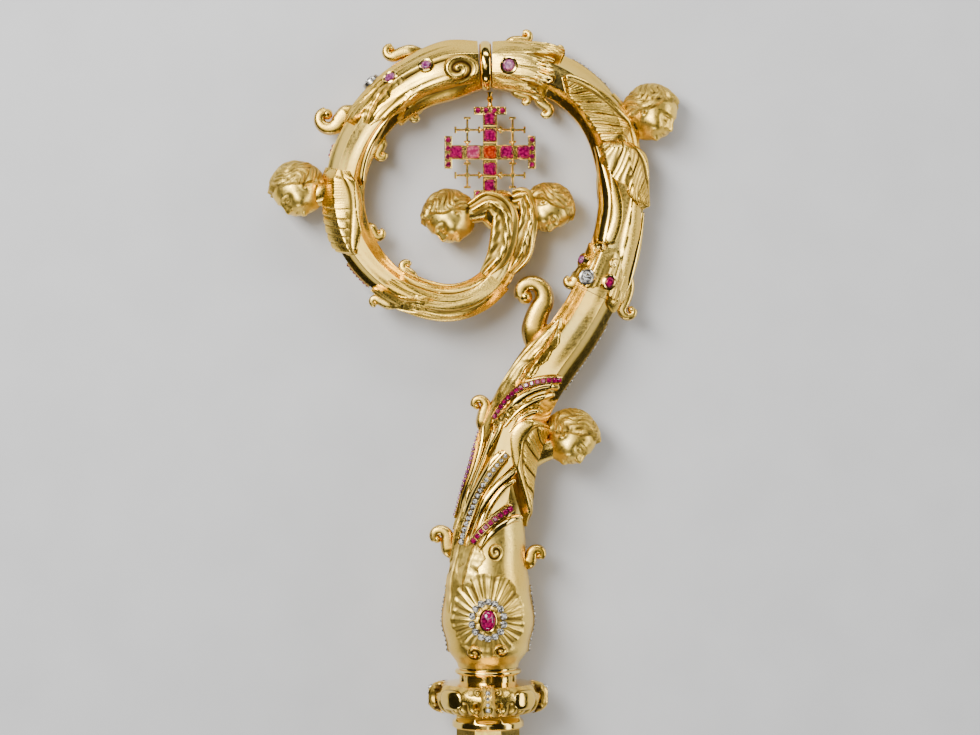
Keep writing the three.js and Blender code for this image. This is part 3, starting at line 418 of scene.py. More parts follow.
GARNET = stone_material("garnet_stone", (0.90, 0.10, 0.01), (0.32, 0.01, 0.0), 0.35)
DIAMOND = stone_material("diamond_stone", (1.0, 0.98, 0.93), (0.05, 0.047, 0.042), 0.25, noisy_glints=True)


def finish_with(obj, *stand_ins, slot="gold"):
    """Puts the piece in the frame in place of its solids."""
    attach(obj, "root")
    if stand_ins:
        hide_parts(*stand_ins)


# The tube itself

def tube_columns():
    """Angles round the tube, close together at the ridges so that they catch the light."""
    half = 180 / FACES
    near = [-22.5, -21.3, -19.2, -12, -4, 4, 12, 19.2, 21.3]
    return np.array([face * 2 * half + a for face in range(FACES) for a in near])


def tube(piece, start, stop):
    """The crook's tube between two shares of its course, closed at both ends."""
    shares = down(math.ceil((stop - start) * LENGTH / TUBE_STEP) + 1, start, stop)
    points = on_tube(shares, tube_columns()[None, :], hollow=TUBE_HOLLOW)
    satin = int(np.searchsorted(shares[:, 0], SATIN_UP_TO))
    if satin > 1:
        piece.grid(points[:satin], SKIN, wrap_columns=True, flip=True)
    piece.grid(points[max(satin - 1, 0) :], POLISHED, wrap_columns=True, flip=True)
    for ring, flip in ((points[0], True), (points[-1], False)):
        cap = np.stack([ring, np.broadcast_to(ring.mean(0), ring.shape)])
        piece.grid(cap, POLISHED, wrap_columns=True, flip=flip)


# Ornaments that lie on the tube

def trace(line, t):
    """Point at t of a line on the tube: a quadratic curve for three pairs, else a curve through them."""
    t = np.asarray(t, float)
    points = np.array(line, float)
    if len(points) == 3:
        u = t[..., None]
        return (1 - u) ** 2 * points[0] + 2 * u * (1 - u) * points[1] + u * u * points[2]
    knots = np.linspace(0, 1, len(points))
    return np.stack([spline(knots, points[:, i], t) for i in (0, 1)], -1)


def spline(knots, values, t):
    """Smooth curve through values at knots."""
    slopes = np.gradient(values, knots)
    i = np.clip(np.searchsorted(knots, t, side="right") - 1, 0, len(knots) - 2)
    h = knots[i + 1] - knots[i]
    u = (t - knots[i]) / h
    start = (2 * u**3 - 3 * u**2 + 1) * values[i] + (u**3 - 2 * u**2 + u) * h * slopes[i]
    return start + (3 * u**2 - 2 * u**3) * values[i + 1] + (u**3 - u**2) * h * slopes[i + 1]


def across(line, t):
    """Middle of a line on the tube, and what a millimetre across it adds to share and angle."""
    t = np.asarray(t, float)
    here, before, ahead = trace(line, t), trace(line, t - 0.005), trace(line, t + 0.005)
    r = girth(here[..., 0])
    along = (ahead[..., 0] - before[..., 0]) * LENGTH
    aside = np.radians(ahead[..., 1] - before[..., 1]) * r
    length = np.hypot(along, aside)
    return here[..., 0], here[..., 1], -aside / length / LENGTH, np.degrees(along / length / r)


def facing(angle, side):
    """Angle on the front for side 1, or its mirror on the back."""
    return angle if side > 0 else 180 - angle


def skirted(piece, share, angle, lift, finish, shade, side=1):
    """Raised patch whose edges go down into the tube."""
    edge = lambda a: np.pad(a, 1, mode="edge")
    low = np.full(np.array(lift.shape) + 2, -SKIRT)
    low[1:-1, 1:-1] = lift
    # Painted shade along the patch's edges, where it meets the tube.
    rim = np.full(low.shape, 0.25)
    rim[1:-1, 1:-1] = np.clip(shade, 0.05, 1)
    piece.grid(on_tube(edge(share), facing(edge(angle), side), low), finish, rim, flip=side < 0)


def leaf(piece, line, width, rise, lobes=4, nt=52, nv=24, finish=SATIN, side=1, curl=0.5):
    """Acanthus leaf along a line: toothed lobes, a midrib and veins that sweep out to each lobe."""
    t, v = down(nt), over(nv, -1)
    aside = np.abs(v)
    share, angle, ds, da = across(line, t)
    run = (lobes * (t - 0.12 * aside)) % 1
    outline = np.sqrt(np.sin(np.pi * (0.1 + 0.86 * t)) + 0.02)
    notches = 0.16 * np.cos(2 * np.pi * (run - 0.3)) + 0.05 * np.cos(6 * np.pi * (run - 0.3))
    offset = v * width / 2 * outline * (1 + notches)
    body = rise * (0.55 + 0.45 * np.sin(np.pi * t)) * (1 - 0.7 * v**2)
    rib = -0.45 * bump(v, 0, 0.07) + 0.3 * bump(aside, 0.17, 0.09)
    fan = np.cos(6 * np.pi * (run + 0.25 * aside))
    veined_part = smooth(aside, 0.12, 0.5)
    veins = (0.08 * fan - 0.45 * bump(run, 0.95, 0.1)) * veined_part
    lift = body + rib + veins + curl * smooth(aside, 0.7, 1) + 0.35
    # Painted shade in the midrib, between the veins and in the notches between the lobes.
    shade = 0.88 + 0.12 * fan - 0.6 * bump(run, 0.96, 0.12) * veined_part - 0.6 * bump(v, 0, 0.09)
    skirted(piece, share + ds * offset, angle + da * offset, lift, finish, shade, side)


def band(piece, line, width, rise, channel=0.0, finish=POLISHED, side=1, knob=0.0):
    """Smooth raised rib along a line, thin at its root, with a channel where it carries stones."""
    t, v = down(46), over(15, -1)
    aside = np.abs(v)
    share, angle, ds, da = across(line, t)
    ends = mix(0.35, 1, smooth(t, 0, 0.4)) * np.sqrt(np.clip(1 - smooth(t, 0.93, 1.01), 0, 1))
    offset = v * width / 2 * ends
    crown = rise * np.sqrt(np.clip(1 - 0.85 * v**2, 0, 1)) * (0.35 + 0.65 * ends)
    cut = channel * (1 - smooth(aside * width / 2, STRIP_HALF, STRIP_HALF + 0.4))
    lift = np.maximum(crown - cut, 0.1)
    # Painted shade in the stone channel and along the rib's edges.
    shade = np.maximum(1 - 0.6 * cut / max(channel, 0.01) - 0.7 * smooth(aside, 0.8, 1), 0.1)
    skirted(piece, share + ds * offset, angle + da * offset, lift, finish, shade, side)
    if knob:
        at, turn = trace(line, 0.97)
        globe(piece, on_tube(at, facing(turn, side), rise * 0.55), knob, finish)


def sleeve(piece, start, end, lift, shade):
    """Sheath of leaf all round the tube, from a share to an end that differs by angle."""
    angle, t = np.linspace(0, 360, 216, endpoint=False)[:, None], over(46)
    share = start + (end(angle) - start) * t
    heights = lift(t, angle) * (1 - 0.5 * smooth(-np.cos(np.radians(angle)), 0.2, 0.8))
    share = np.pad(share, ((0, 0), (1, 1)), mode="edge")
    heights = np.pad(heights, ((0, 0), (1, 1)), constant_values=-1.5)
    tone = shade(t, angle)
    # Painted shade at the sheath's two edges, where it meets the tube.
    tone = np.concatenate([tone[:, :1] * 0.2, tone, tone[:, -1:] * 0.2], 1)
    forward = end(np.zeros(1))[0] > start
    piece.grid(on_tube(share, angle, heights), SATIN, tone, wrap_rows=True, flip=not forward)


def swirl(piece, share, angle, size, turns, hand, stretch, rise, side, finish=POLISHED, bed=0.0):
    """Snail-like curl that lies on the tube: a ridge that winds in to its eye."""
    rho, theta = down(24, 0.02), circle(64)[None, :]
    ridge = np.cos(2 * np.pi * turns * rho - hand * theta)
    lift = rise * (1.05 - 0.75 * rho**2 + 0.38 * ridge * smooth(rho, 0.02, 0.3))
    lift = np.concatenate([lift + (bed if side > 0 else 0), np.full((1, 64), -1.2)])
    # Painted shade in the groove that winds to the eye, and at the edge.
    tone = np.concatenate([np.clip(0.62 + 0.55 * ridge, 0.06, 1), np.full((1, 64), 0.15)])
    rho = np.concatenate([rho, [[1.0]]])
    shares = share + size * stretch * rho * np.cos(theta) / LENGTH
    angles = facing(angle + np.degrees(size * rho * np.sin(theta) / girth(share)), side)
    piece.grid(on_tube(shares, angles, lift), finish, tone, wrap_columns=True, flip=side < 0)


def wave(angle, n, depth, phase=0.0):
    return depth * (0.5 + 0.5 * np.cos(np.radians(n * angle + phase)))


def scroll(piece, at, eye, side, out, radius, thick, wide=6.5, n=64, sink=2.5):
    """Leaf tip that lifts off the tube, curls away and back, and ends in a round eye."""
    onward = np.sign(eye - at)
    (c0, _, o0), (c1, a1, o1) = station(at), station(eye)
    away, along = o1 * side, a1 * onward
    centre = c1 + away * (girth(eye) + out)
    start = c0 + o0 * side * (girth(at) - sink)
    entry = centre - away * radius
    pull = entry - along * 0.5 * np.linalg.norm(start - entry)
    t = np.linspace(0, 1, n // 2, endpoint=False)[:, None]
    rise = (1 - t) ** 2 * start + 2 * t * (1 - t) * pull + t * t * entry
    a = math.radians(235) * down(n // 2)
    r = radius * (1 - 0.55 * down(n // 2))
    path = np.concatenate([rise, centre - away * r * np.cos(a) + along * r * np.sin(a)])
    t = np.concatenate([t / 3, down(n // 2, 1 / 3)])
    side_way = unit(np.cross(np.gradient(path, axis=0), FRONT))
    heel = 0.12 + 0.88 * smooth(t, 0, 0.2)
    half = thick / 2 * (0.85 + 1.1 * (1 - t) ** 2) * heel
    depth = wide / 2 * (1.1 - 0.4 * t) * heel
    half[-5:] *= down(5, 1, 0.3)
    around = circle(32)[None, :]
    cos, sin = np.cos(around), np.sin(around)
    flute = np.cos(2.5 * np.pi * sin) * smooth(np.abs(cos), 0.3, 0.8)
    x = half * boxy(cos, 0.75) * (1 + 0.07 * flute)
    dish = 0.12 * half * (np.abs(sin) > 0.5) * (1 - (np.abs(cos) / 0.87) ** 2)
    z = depth * boxy(sin, 0.75) - np.sign(sin) * np.clip(dish, 0, None)
    points = path[:, None] + side_way[:, None] * x[..., None] + FRONT * z[..., None]
    # Painted shade in the flutes.
    piece.grid(points, SATIN, np.clip(0.78 + 0.3 * flute, 0.2, 1), wrap_columns=True, flip=True)
    bead = max(radius * 0.46, 1.0)
    globe(piece, mix(path[-1], centre, 0.4), (bead, bead, depth[-1, 0] + 0.5), SATIN, 16, 24)


def globe(piece, centre, radii, finish, rows=12, columns=18):
    a, b = down(rows, 0, np.pi), circle(columns)[None, :]
    points = np.stack([np.sin(a) * np.cos(b), np.sin(a) * np.sin(b), np.cos(a) * np.ones_like(b)], -1)
    piece.grid(points * radii + centre, finish, wrap_columns=True)


def turned(piece, profile, finish, columns, centre=(0, 0, 0), shade=None, ripple=None):
    """Body turned about y from (radius, height) pairs; ripple(angle, i) scales the radius."""
    profile = np.array(profile, float)
    a = circle(columns)[None, :]
    r = profile[:, :1] * (1 if ripple is None else ripple(a, np.arange(len(profile))[:, None]))
    points = np.stack([r * np.sin(a), profile[:, 1:] * np.ones_like(a), r * np.cos(a)], -1)
    # Painted shade: the given shade of each row, darker where the ripple cuts into the body.
    if shade is not None:
        shade = np.clip(np.array(shade)[:, None] - 12 * (1 - r / profile[:, :1]), 0.08, 1)
    piece.grid(points + centre, finish, shade, wrap_columns=True, flip=True)


# Stones

def seat_on(share, angle, lift):
    """Foot of a setting and its three directions: round, along and up."""
    foot = on_tube(share, angle, lift)
    centre, ahead, _ = station(share)
    up = foot - centre
    up = unit(up - ahead * (up @ ahead))
    return foot, np.stack([np.cross(ahead, up), ahead, up])


def cut_stone(piece, foot, axes, half, rise, sides=12, table=0.58, square=False):
    """Cut stone: girdle, two rows of facets and a table, flat faces all over."""
    a = (np.arange(sides) + 0.5) * 2 * np.pi / sides

    def ring(angles, k, z):
        x, y = np.cos(angles), np.sin(angles)
        if square:
            x, y = boxy(x, 0.42), boxy(y, 0.42)
        return np.stack([x * k * half[0], y * k * half[1], np.full(sides, z)], -1)

    rings = [ring(a, 0.9, -0.5), ring(a, 1.0, 0.0), ring(circle(sides), 0.86, rise * 0.55)]
    points = np.concatenate(rings + [ring(a, table, rise), [[0, 0, rise]]])
    faces = []
    for i in range(sides):
        low, girdle, mid, top = (i + k * sides for k in range(4))
        low2, girdle2, mid2, top2 = ((i + 1) % sides + k * sides for k in range(4))
        faces += [(low, low2, girdle2), (low, girdle2, girdle), (girdle, girdle2, mid2), (girdle, mid2, mid)]
        faces += [(mid, mid2, top), (mid2, top2, top), (top, top2, 4 * sides)]
    piece.add(points @ axes + foot, faces, STONE, flat=True)


def collet(piece, foot, axes, half, height, finish=POLISHED, wall=0.6, claws=0, bed=2.5):
    """Rubbed-over setting round a stone, with claws where it has them."""
    profile = [(wall + 0.3, -bed), (wall, 0.2), (wall * 0.9, height * 0.8), (wall * 0.45, height)]
    profile += [(-0.05, height * 0.85), (-0.15, -0.3)]
    a = circle(40)
    rings = [
        np.stack([(half[0] + w) * np.cos(a), (half[1] + w) * np.sin(a), 0 * a + z], -1) for w, z in profile
    ]
    # Painted shade at the setting's foot and inside its wall.
    shade = np.array([0.5, 0.8, 1, 1, 0.7, 0.3])[:, None]
    piece.grid(np.stack(rings) @ axes + foot, finish, shade, wrap_columns=True, flip=True)
    for k in range(claws):
        b = (k + 0.5) * 2 * np.pi / claws
        tip = np.array([(half[0] + 0.1) * math.cos(b), (half[1] + 0.1) * math.sin(b), height])
        globe(piece, tip @ axes + foot, 0.34, finish, 6, 8)


stones = []  # (piece, material, nodes, name, slot)


def stone_piece(name, material, slot, nodes=()):
    piece = Piece()
    stones.append((piece, material, nodes, name, slot))
    return piece


def set_stone(metal_piece, name, material, slot, share, angle, half, lift, finish=POLISHED):
    foot, axes = seat_on(share, angle, lift)
    collet(metal_piece, foot, axes, half, COLLET_HEIGHT, finish, COLLET_WALL)
    cut_stone(stone_piece(name, material, slot, (name,)), foot + axes[2] * 0.45, axes, half, 1.5)


def stone_row(metal_piece, name, material, slot, line, lift, size, finish=EDGE, square=False, grow=0.0):
    """Small stones side by side in a walled channel along a line on the tube."""
    t = np.linspace(0, 1, 120)
    share, angle, ds, da = across(line, t)
    points = on_tube(share, angle, lift)
    run = np.concatenate([[0], np.cumsum(np.linalg.norm(np.diff(points, axis=0), axis=1))])
    count = max(2, int(run[-1] / (2 * size + STONE_GAP)))
    where = np.interp((np.arange(count) + 0.5) / count * run[-1], run, t)
    piece = stone_piece(name or "stem_side_pinks", material, slot, (name,) if name else ())
    for k, u in enumerate(where):
        foot, axes = seat_on(*trace(line, u), lift)
        ahead = on_tube(*trace(line, u + 0.01), lift) - foot
        ahead = unit(ahead - axes[2] * (ahead @ axes[2]))
        axes = np.stack([np.cross(ahead, axes[2]), ahead, axes[2]])
        r = size * (1 + grow * (k / count - 0.5))
        cut_stone(piece, foot + axes[2] * 0.25, axes, (r, r), 0.85, sides=8, square=square)
        for x in (-1, 1):
            grain = foot + axes[0] * x * (r + 0.12) + axes[1] * (r + 0.05) + axes[2] * 0.55
            globe(metal_piece, grain, 0.27, finish, 5, 7)
    v = np.array([-1.35, -1.3, -1.05, -0.98, 0.98, 1.05, 1.3, 1.35])[None, :] * size * 1.12
    high = np.array([-1.6, 0.45, 0.6, 0.0, 0.0, 0.6, 0.45, -1.6])[None, :]
    # Painted shade at the walls' feet and in the channel between them.
    tone = np.array([0.3, 0.8, 1, 0.25, 0.25, 1, 0.8, 0.3])[None, :]
    wall = on_tube(share[:, None] + ds[:, None] * v, angle[:, None] + da[:, None] * v, lift + high)
    metal_piece.grid(wall, finish, tone)


# Cherubs

# Degrees from the middle of the face, and how high the hair begins there.
HAIRLINE = ([0, 30, 48, 62, 76, 92, 112, 140, 180], [46, 42, 32, 16, 2, -14, -34, -46, -50])

# Marks on both sides of a face: degrees aside and up, width, height and relief.
NOSE = [(0, -10, 8, 8, 0.13), (0, -15, 9, 4.6, 0.07), (0, 2, 7, 12, 0.05), (9, -15, 4.5, 4, 0.05)]
LIPS = [(0, -26, 12, 3.4, 0.05), (0, -33.2, 9, 3.8, 0.055)]
MOUTH = [(0, -29.6, 12, 1.5, -0.045), (0, -21, 2.5, 3, -0.012)]
CHIN = [(0, -46, 16, 9, 0.11), (0, -39, 11, 3, -0.035)]
EYES = [(22, 3, 13, 9, -0.15), (22, 2, 8, 6, 0.12), (21, 7.8, 9, 1.6, 0.03), (21, -3.4, 8, 1.5, -0.025)]
BROW = [(20, 15, 15, 5, 0.04), (0, 34, 42, 18, 0.05)]
CHEEKS = [(36, -23, 22, 17, 0.09), (112, -62, 60, 26, -0.12), (66, -12, 16, 16, -0.03)]
EARS = [(80, -10, 6, 10, 0.12), (79, -10, 3, 6, -0.14)]
# Painted shade in the creases of the mouth, the lids and the ear: the same columns, with how much darker each
# is in place of relief.
SHADES = [(0, -29.8, 11, 1.6, 0.7), (22, -3.8, 9, 2.2, 0.7), (22, 7, 10, 2.2, 0.7), (79, -10, 3.4, 6, 0.6)]


def head_points(seed):
    """Head of radius 1, looking along x with its crown along z, and its painted shade."""
    e = np.radians(down(116, -90, 90))
    a = np.radians(np.linspace(-180, 180, 150, endpoint=False))[None, :]
    e, a = np.broadcast_arrays(e, a)
    d = np.stack([np.cos(e) * np.cos(a), np.cos(e) * np.sin(a), np.sin(e)], -1)
    tall = np.where(d[..., 2] > 0, 1.03, 1.01)
    r = 1 / np.sqrt((d[..., 0] / 0.95) ** 2 + (d[..., 1] / 0.84) ** 2 + (d[..., 2] / tall) ** 2)
    az, el = np.degrees(a), np.degrees(e)
    aside = np.abs(az)

    def marks(rows):
        return sum(k * np.exp(-(((aside - x) / w) ** 2) - ((el - y) / h) ** 2) for x, y, w, h, k in rows)

    r = r + marks(NOSE + LIPS + MOUTH + CHIN + EYES + BROW + CHEEKS + EARS)
    line = np.interp(aside, *HAIRLINE) + 3 * np.sin(0.16 * az + seed)
    hair = smooth(el, line - 2, line + 5)
    flow = a + 0.45 * np.sin(3.4 * e + seed) + 0.13 * np.sin(3 * a + 6 * e + seed)
    flow += 0.07 * np.sin(5 * a - 9 * e)
    tight = np.clip(np.cos(e) * 1.4, 0, 1) ** 0.7
    lock = np.abs(np.sin(8.5 * flow + seed)) ** 0.6
    wisp = np.abs(np.sin(23 * flow + 2.2 * np.sin(5 * e + seed)))
    curl = np.abs(np.sin(6.5 * e + 1.9 * np.sin(4 * flow + seed) + seed)) ** 0.5
    r += hair * (0.03 + 0.05 * lock * tight + 0.02 * wisp * tight + 0.055 * curl)
    r += hair * bump(el, line + 9, 12) * (0.035 * np.cos(11 * flow + 3 * seed) + 0.015)
    # Painted shade in the grooves between the hair's locks, wisps and curls.
    grooves = (1 - lock) * 0.45 + (1 - wisp) * 0.25 + (1 - curl) * 0.4
    shade = 1 - hair * np.clip(0.1 + grooves * (0.4 + 0.6 * tight), 0, 0.85)
    # Painted shade in the creases of the face and ear, and a dark line along the hairline.
    shade = shade - marks(SHADES) - 0.5 * bump(el, line - 0.5, 2.5) * (aside < 100)
    return d * r[..., None], np.clip(shade, 0.05, 1)


def cherub_head(piece, centre, crown, look, size, seed):
    """Head whose crown and face point at headings in the plane; the face also turns to the front."""
    up = pointing(crown)
    face = unit(pointing(look, math.tan(math.radians(HEAD_TURN))))
    points, shade = head_points(seed)
    axes = np.stack([face, np.cross(up, face), up])
    piece.grid(points @ axes * HEAD_RADIUS * size * HEAD_SHARE + centre, SKIN, shade, wrap_columns=True)


def limb(piece, start, end, r0, r1):
    """Round neck, slimmer at its middle."""
    length = np.linalg.norm(end - start)
    axis = (end - start) / length
    x = unit(np.cross(axis, FRONT))
    y = np.cross(axis, x)
    t, a = down(12), circle(32)[None, :]
    r = mix(r0, r1, t) * (1 - 0.12 * np.sin(np.pi * t))
    points = (t * length)[..., None] * axis + (r * np.cos(a))[..., None] * x + (r * np.sin(a))[..., None] * y
    piece.grid(start + points, SATIN, wrap_columns=True, flip=True)


def wing(piece, rim, hem, feathers, rise=2.2, side=1, sweep=1.2, bare=-0.2, fine=0.6):
    """Wing on the tube between a rolled rim and a hem: feathers with round ends and fine barbs."""
    t, v = down(128), over(52)
    a, b = trace(rim, t), trace(hem, t)
    long = feathers * t - sweep * v + 0.1 * np.sin(4 * v + 7 * t)
    phase = long % 1
    broad = np.clip(1 - (2 * phase - 1) ** 2, 0, 1)
    begun = smooth(t, bare - 0.1, bare + 0.15)
    shown = begun * smooth(v, 0.22, 0.34)
    reach = v * (1 + 0.14 * (broad - 0.75) * smooth(v, 0.45, 1) * begun)
    roll = dome((v - 0.1) / 0.13)
    barbs = np.cos(2 * np.pi * (4 * long + 0.5 * np.sin(5 * v))) * smooth(v, 0.22, 0.34)
    lift = rise * (0.45 + 0.55 * np.sin(np.pi * (0.2 + 0.62 * v))) + 0.9 * roll + 0.3 * np.sin(7 * t + 3 * v)
    lift = lift + shown * (0.55 * phase + 0.3 * np.sqrt(broad) - 0.3) + 0.12 * fine * barbs
    lift = lift * smooth(t, -0.06, 0.1) * (0.35 + 0.65 * smooth(1 - t, 0, 0.12)) + 0.2
    lift = lift if side > 0 else lift * 0.7
    # Painted shade at the step where each feather laps over the next, between the barbs and in the crease
    # along the rolled rim.
    shade = 1 - 0.85 * shown * (1 - smooth(phase, 0.0, 0.2)) - 0.3 * shown * smooth(phase, 0.92, 1)
    shade = shade - 0.2 * fine * (1 - barbs) * (v > 0.25) - 0.75 * bump(v, 0.24, 0.025)
    share, angle = mix(a[..., 0], b[..., 0], reach), mix(a[..., 1], b[..., 1], reach)
    skirted(piece, share, angle, lift, SATIN, shade, side)


def cherub(name, at, spread, centre, crown, look, wings, size=1.0, seed=0.0):
    """Head on a neck that leaves the tube's outer side, with wings on the tube's front and back."""
    piece = Piece()
    cherub_head(piece, centre, crown, look, size, seed)
    scale = HEAD_RADIUS * size
    limb(piece, on_tube(at, 90, -1.5), centre - pointing(crown) * 0.45 * scale, 0.62 * scale, 0.45 * scale)
    t, v = down(24), over(60, -1)
    lift = 2.2 * (1 - 0.5 * v**2) * np.sin(np.pi * (0.15 + 0.7 * t)) + 0.12 * np.cos(26 * v)
    shares = at + spread * (t - 0.5) / LENGTH * np.ones_like(v)
    # Painted shade: the leaf where the neck leaves the tube is a little darker all over.
    skirted(piece, shares, 90 + 62 * v * np.ones_like(t), lift, SATIN, 0.85)
    for each in wings:
        for side in (1, -1):
            wing(piece, side=side, **each)
    finish_with(piece.build(name + "_dressed"), name)


def beside(share, out):
    centre, _, outer = station(share)
    return centre + outer * out


# Stem: bulb, twisting ribs and leaves, scrolls

UPPER_BAND = [(0.2, -48), (0.235, -40), (0.254, 36)]
MIDDLE_BAND = [(0.1, -44), (0.14, -40), (0.178, 2)]
LOWER_BAND = [(0.102, -26), (0.12, -10), (0.135, 30)]

# Ribs that sweep up beside the rows of stones: line, width, rise and the knob at the end.
STEM_RIBS = [
    ([(0.198, -33), (0.2135, -25), (0.23, -7), (0.243, 20), (0.2475, 46)], 3.4, 2.3, 0),
    ([(0.197, -21), (0.2122, -9), (0.2263, 9), (0.2345, 27), (0.2395, 42)], 3.0, 2.0, 1.0),
    ([(0.195, -9), (0.208, 2), (0.2172, 16), (0.2215, 34)], 2.8, 1.8, 1.1),
    ([(0.1, -34), (0.1268, -24), (0.1467, -6), (0.1605, 14), (0.171, 30)], 3.6, 2.3, 1.2),
    ([(0.1, -57), (0.1255, -52), (0.149, -36), (0.1665, -22), (0.179, -6)], 3.4, 2.2, 1.2),
    ([(0.106, -22), (0.1323, -8), (0.1502, 11), (0.1583, 28)], 2.6, 1.9, 0.9),
    ([(0.098, -14), (0.1123, 2), (0.1232, 28), (0.1275, 56)], 3.2, 2.0, 1.0),
    ([(0.112, -80), (0.1315, -70), (0.1565, -58), (0.181, -60), (0.198, -76)], 2.6, 2.2, 0),
    ([(0.1128, -64), (0.1368, -54), (0.162, -44), (0.1807, -40), (0.1923, -40)], 2.4, 2.0, 0.9),
    ([(0.1645, -42), (0.1785, -36), (0.1913, -30), (0.2, -30)], 2.4, 1.8, 0.9),
]

# Leaf tips: share at the root and at the eye, side, distance out, radius, thickness, width, rows, sink.
STEM_TIPS = [
    (0.252, 0.2985, -1, 13.4, 7, 6.2, 11, 96, 8),
    (0.182, 0.205, -1, 6, 3.4, 3.4),
    (0.085, 0.103, -1, 6.6, 3.8, 4),
    (0.08, 0.095, 1, 5.4, 2.9, 3.6),
]
ARCH_TIPS = [
    (0.58, 0.561, 1, 3.8, 2.3, 2.8),
    (0.555, 0.537, 1, 1.4, 1.6, 2.2, 5),
    (0.572, 0.552, -1, 3.2, 1.8, 2.6, 5),
    (0.545, 0.524, -1, 4.6, 2.2, 3, 5),
    (0.362, 0.3285, 1, 5.4, 3.4, 3.2),
    (0.345, 0.33, -1, 1.4, 2, 3.6),
]
VOLUTE_TIPS = [
    (0.63, 0.654, 1, 7.4, 2.8, 3.4),
    (0.694, 0.714, 1, 7.2, 5.2, 4.8, 8, 90),
    (0.652, 0.667, -1, 1.8, 1.8, 2.8, 5),
    (0.7, 0.719, -1, 2, 2, 3, 5),
    (0.79, 0.807, -1, 2, 2, 3, 5),
    (0.872, 0.852, -1, 2.4, 2, 3, 5),
    (0.868, 0.848, 1, 3.6, 1.8, 2.8, 5),
]


def shell(piece):
    """Shell that fans out from the bulb's stone, with scalloped edge and ribs."""
    petals, inner, outer = 9, 4, 0.84 * BULB
    a, t = circle(300)[:, None], over(24)
    fan = np.abs(np.cos(petals / 2 * (a + np.pi / 2)))
    tall = 1 + 0.2 * smooth(np.cos(a), 0, 1)
    shown = mix(0.35, 1, smooth(np.cos(a), -0.98, -0.55))
    reach = inner + (outer * tall * (0.9 + 0.1 * np.sqrt(fan)) - inner) * t
    ribs = np.cos(3 * petals * (a + np.pi / 2))
    lift = 0.4 + (0.5 + 0.45 * fan) * (0.4 + 0.6 * t) + 0.22 * ribs * shown * smooth(t, 0.15, 0.5)
    lift = lift + 0.45 * shown * smooth(t, 0.85, 1)
    # Painted shade in the valleys between the petals and the ribs, and at the edge.
    valley = 1 - smooth(fan, 0, 0.45)
    shade = np.clip(0.88 - 0.5 * valley * shown + 0.14 * ribs * shown, 0.05, 1) * np.ones_like(lift)
    reach = np.concatenate([reach, reach[:, -1:]], 1)
    lift = np.concatenate([lift, np.full((300, 1), -1.5)], 1)
    shade = np.concatenate([shade, np.full((300, 1), 0.1)], 1)
    share = np.maximum(BULB_STONE_AT + reach * np.cos(a) / LENGTH, 0.004)
    angle = np.degrees(reach * np.sin(a) / BULB)
    piece.grid(on_tube(share, angle, lift), SKIN, shade, wrap_rows=True)


def bulb_stones(piece):
    """The bulb's ruby and the ring of diamonds round it."""
    foot, axes = seat_on(BULB_STONE_AT, 0, 1.6)
    collet(piece, foot, axes, (3.2, 4.4), 1.1)
    ruby = stone_piece("bulb_ruby", RUBY, "ruby", ("bulb_ruby",))
    cut_stone(ruby, foot + axes[2] * 0.5, axes, (3.2, 4.4), 1.5, sides=16)
    cluster = stone_piece("bulb_diamonds", DIAMOND, "diamond")
    for b in circle(14):
        place = (BULB_STONE_AT + 7.6 * math.cos(b) / LENGTH, math.degrees(6.2 * math.sin(b) / BULB))
        foot, axes = seat_on(*place, 1.7)
        collet(piece, foot, axes, (1.15, 1.15), 0.7, SILVER, 0.35, claws=4)
        cut_stone(cluster, foot + axes[2] * 0.3, axes, (1.15, 1.15), 0.9, sides=8)


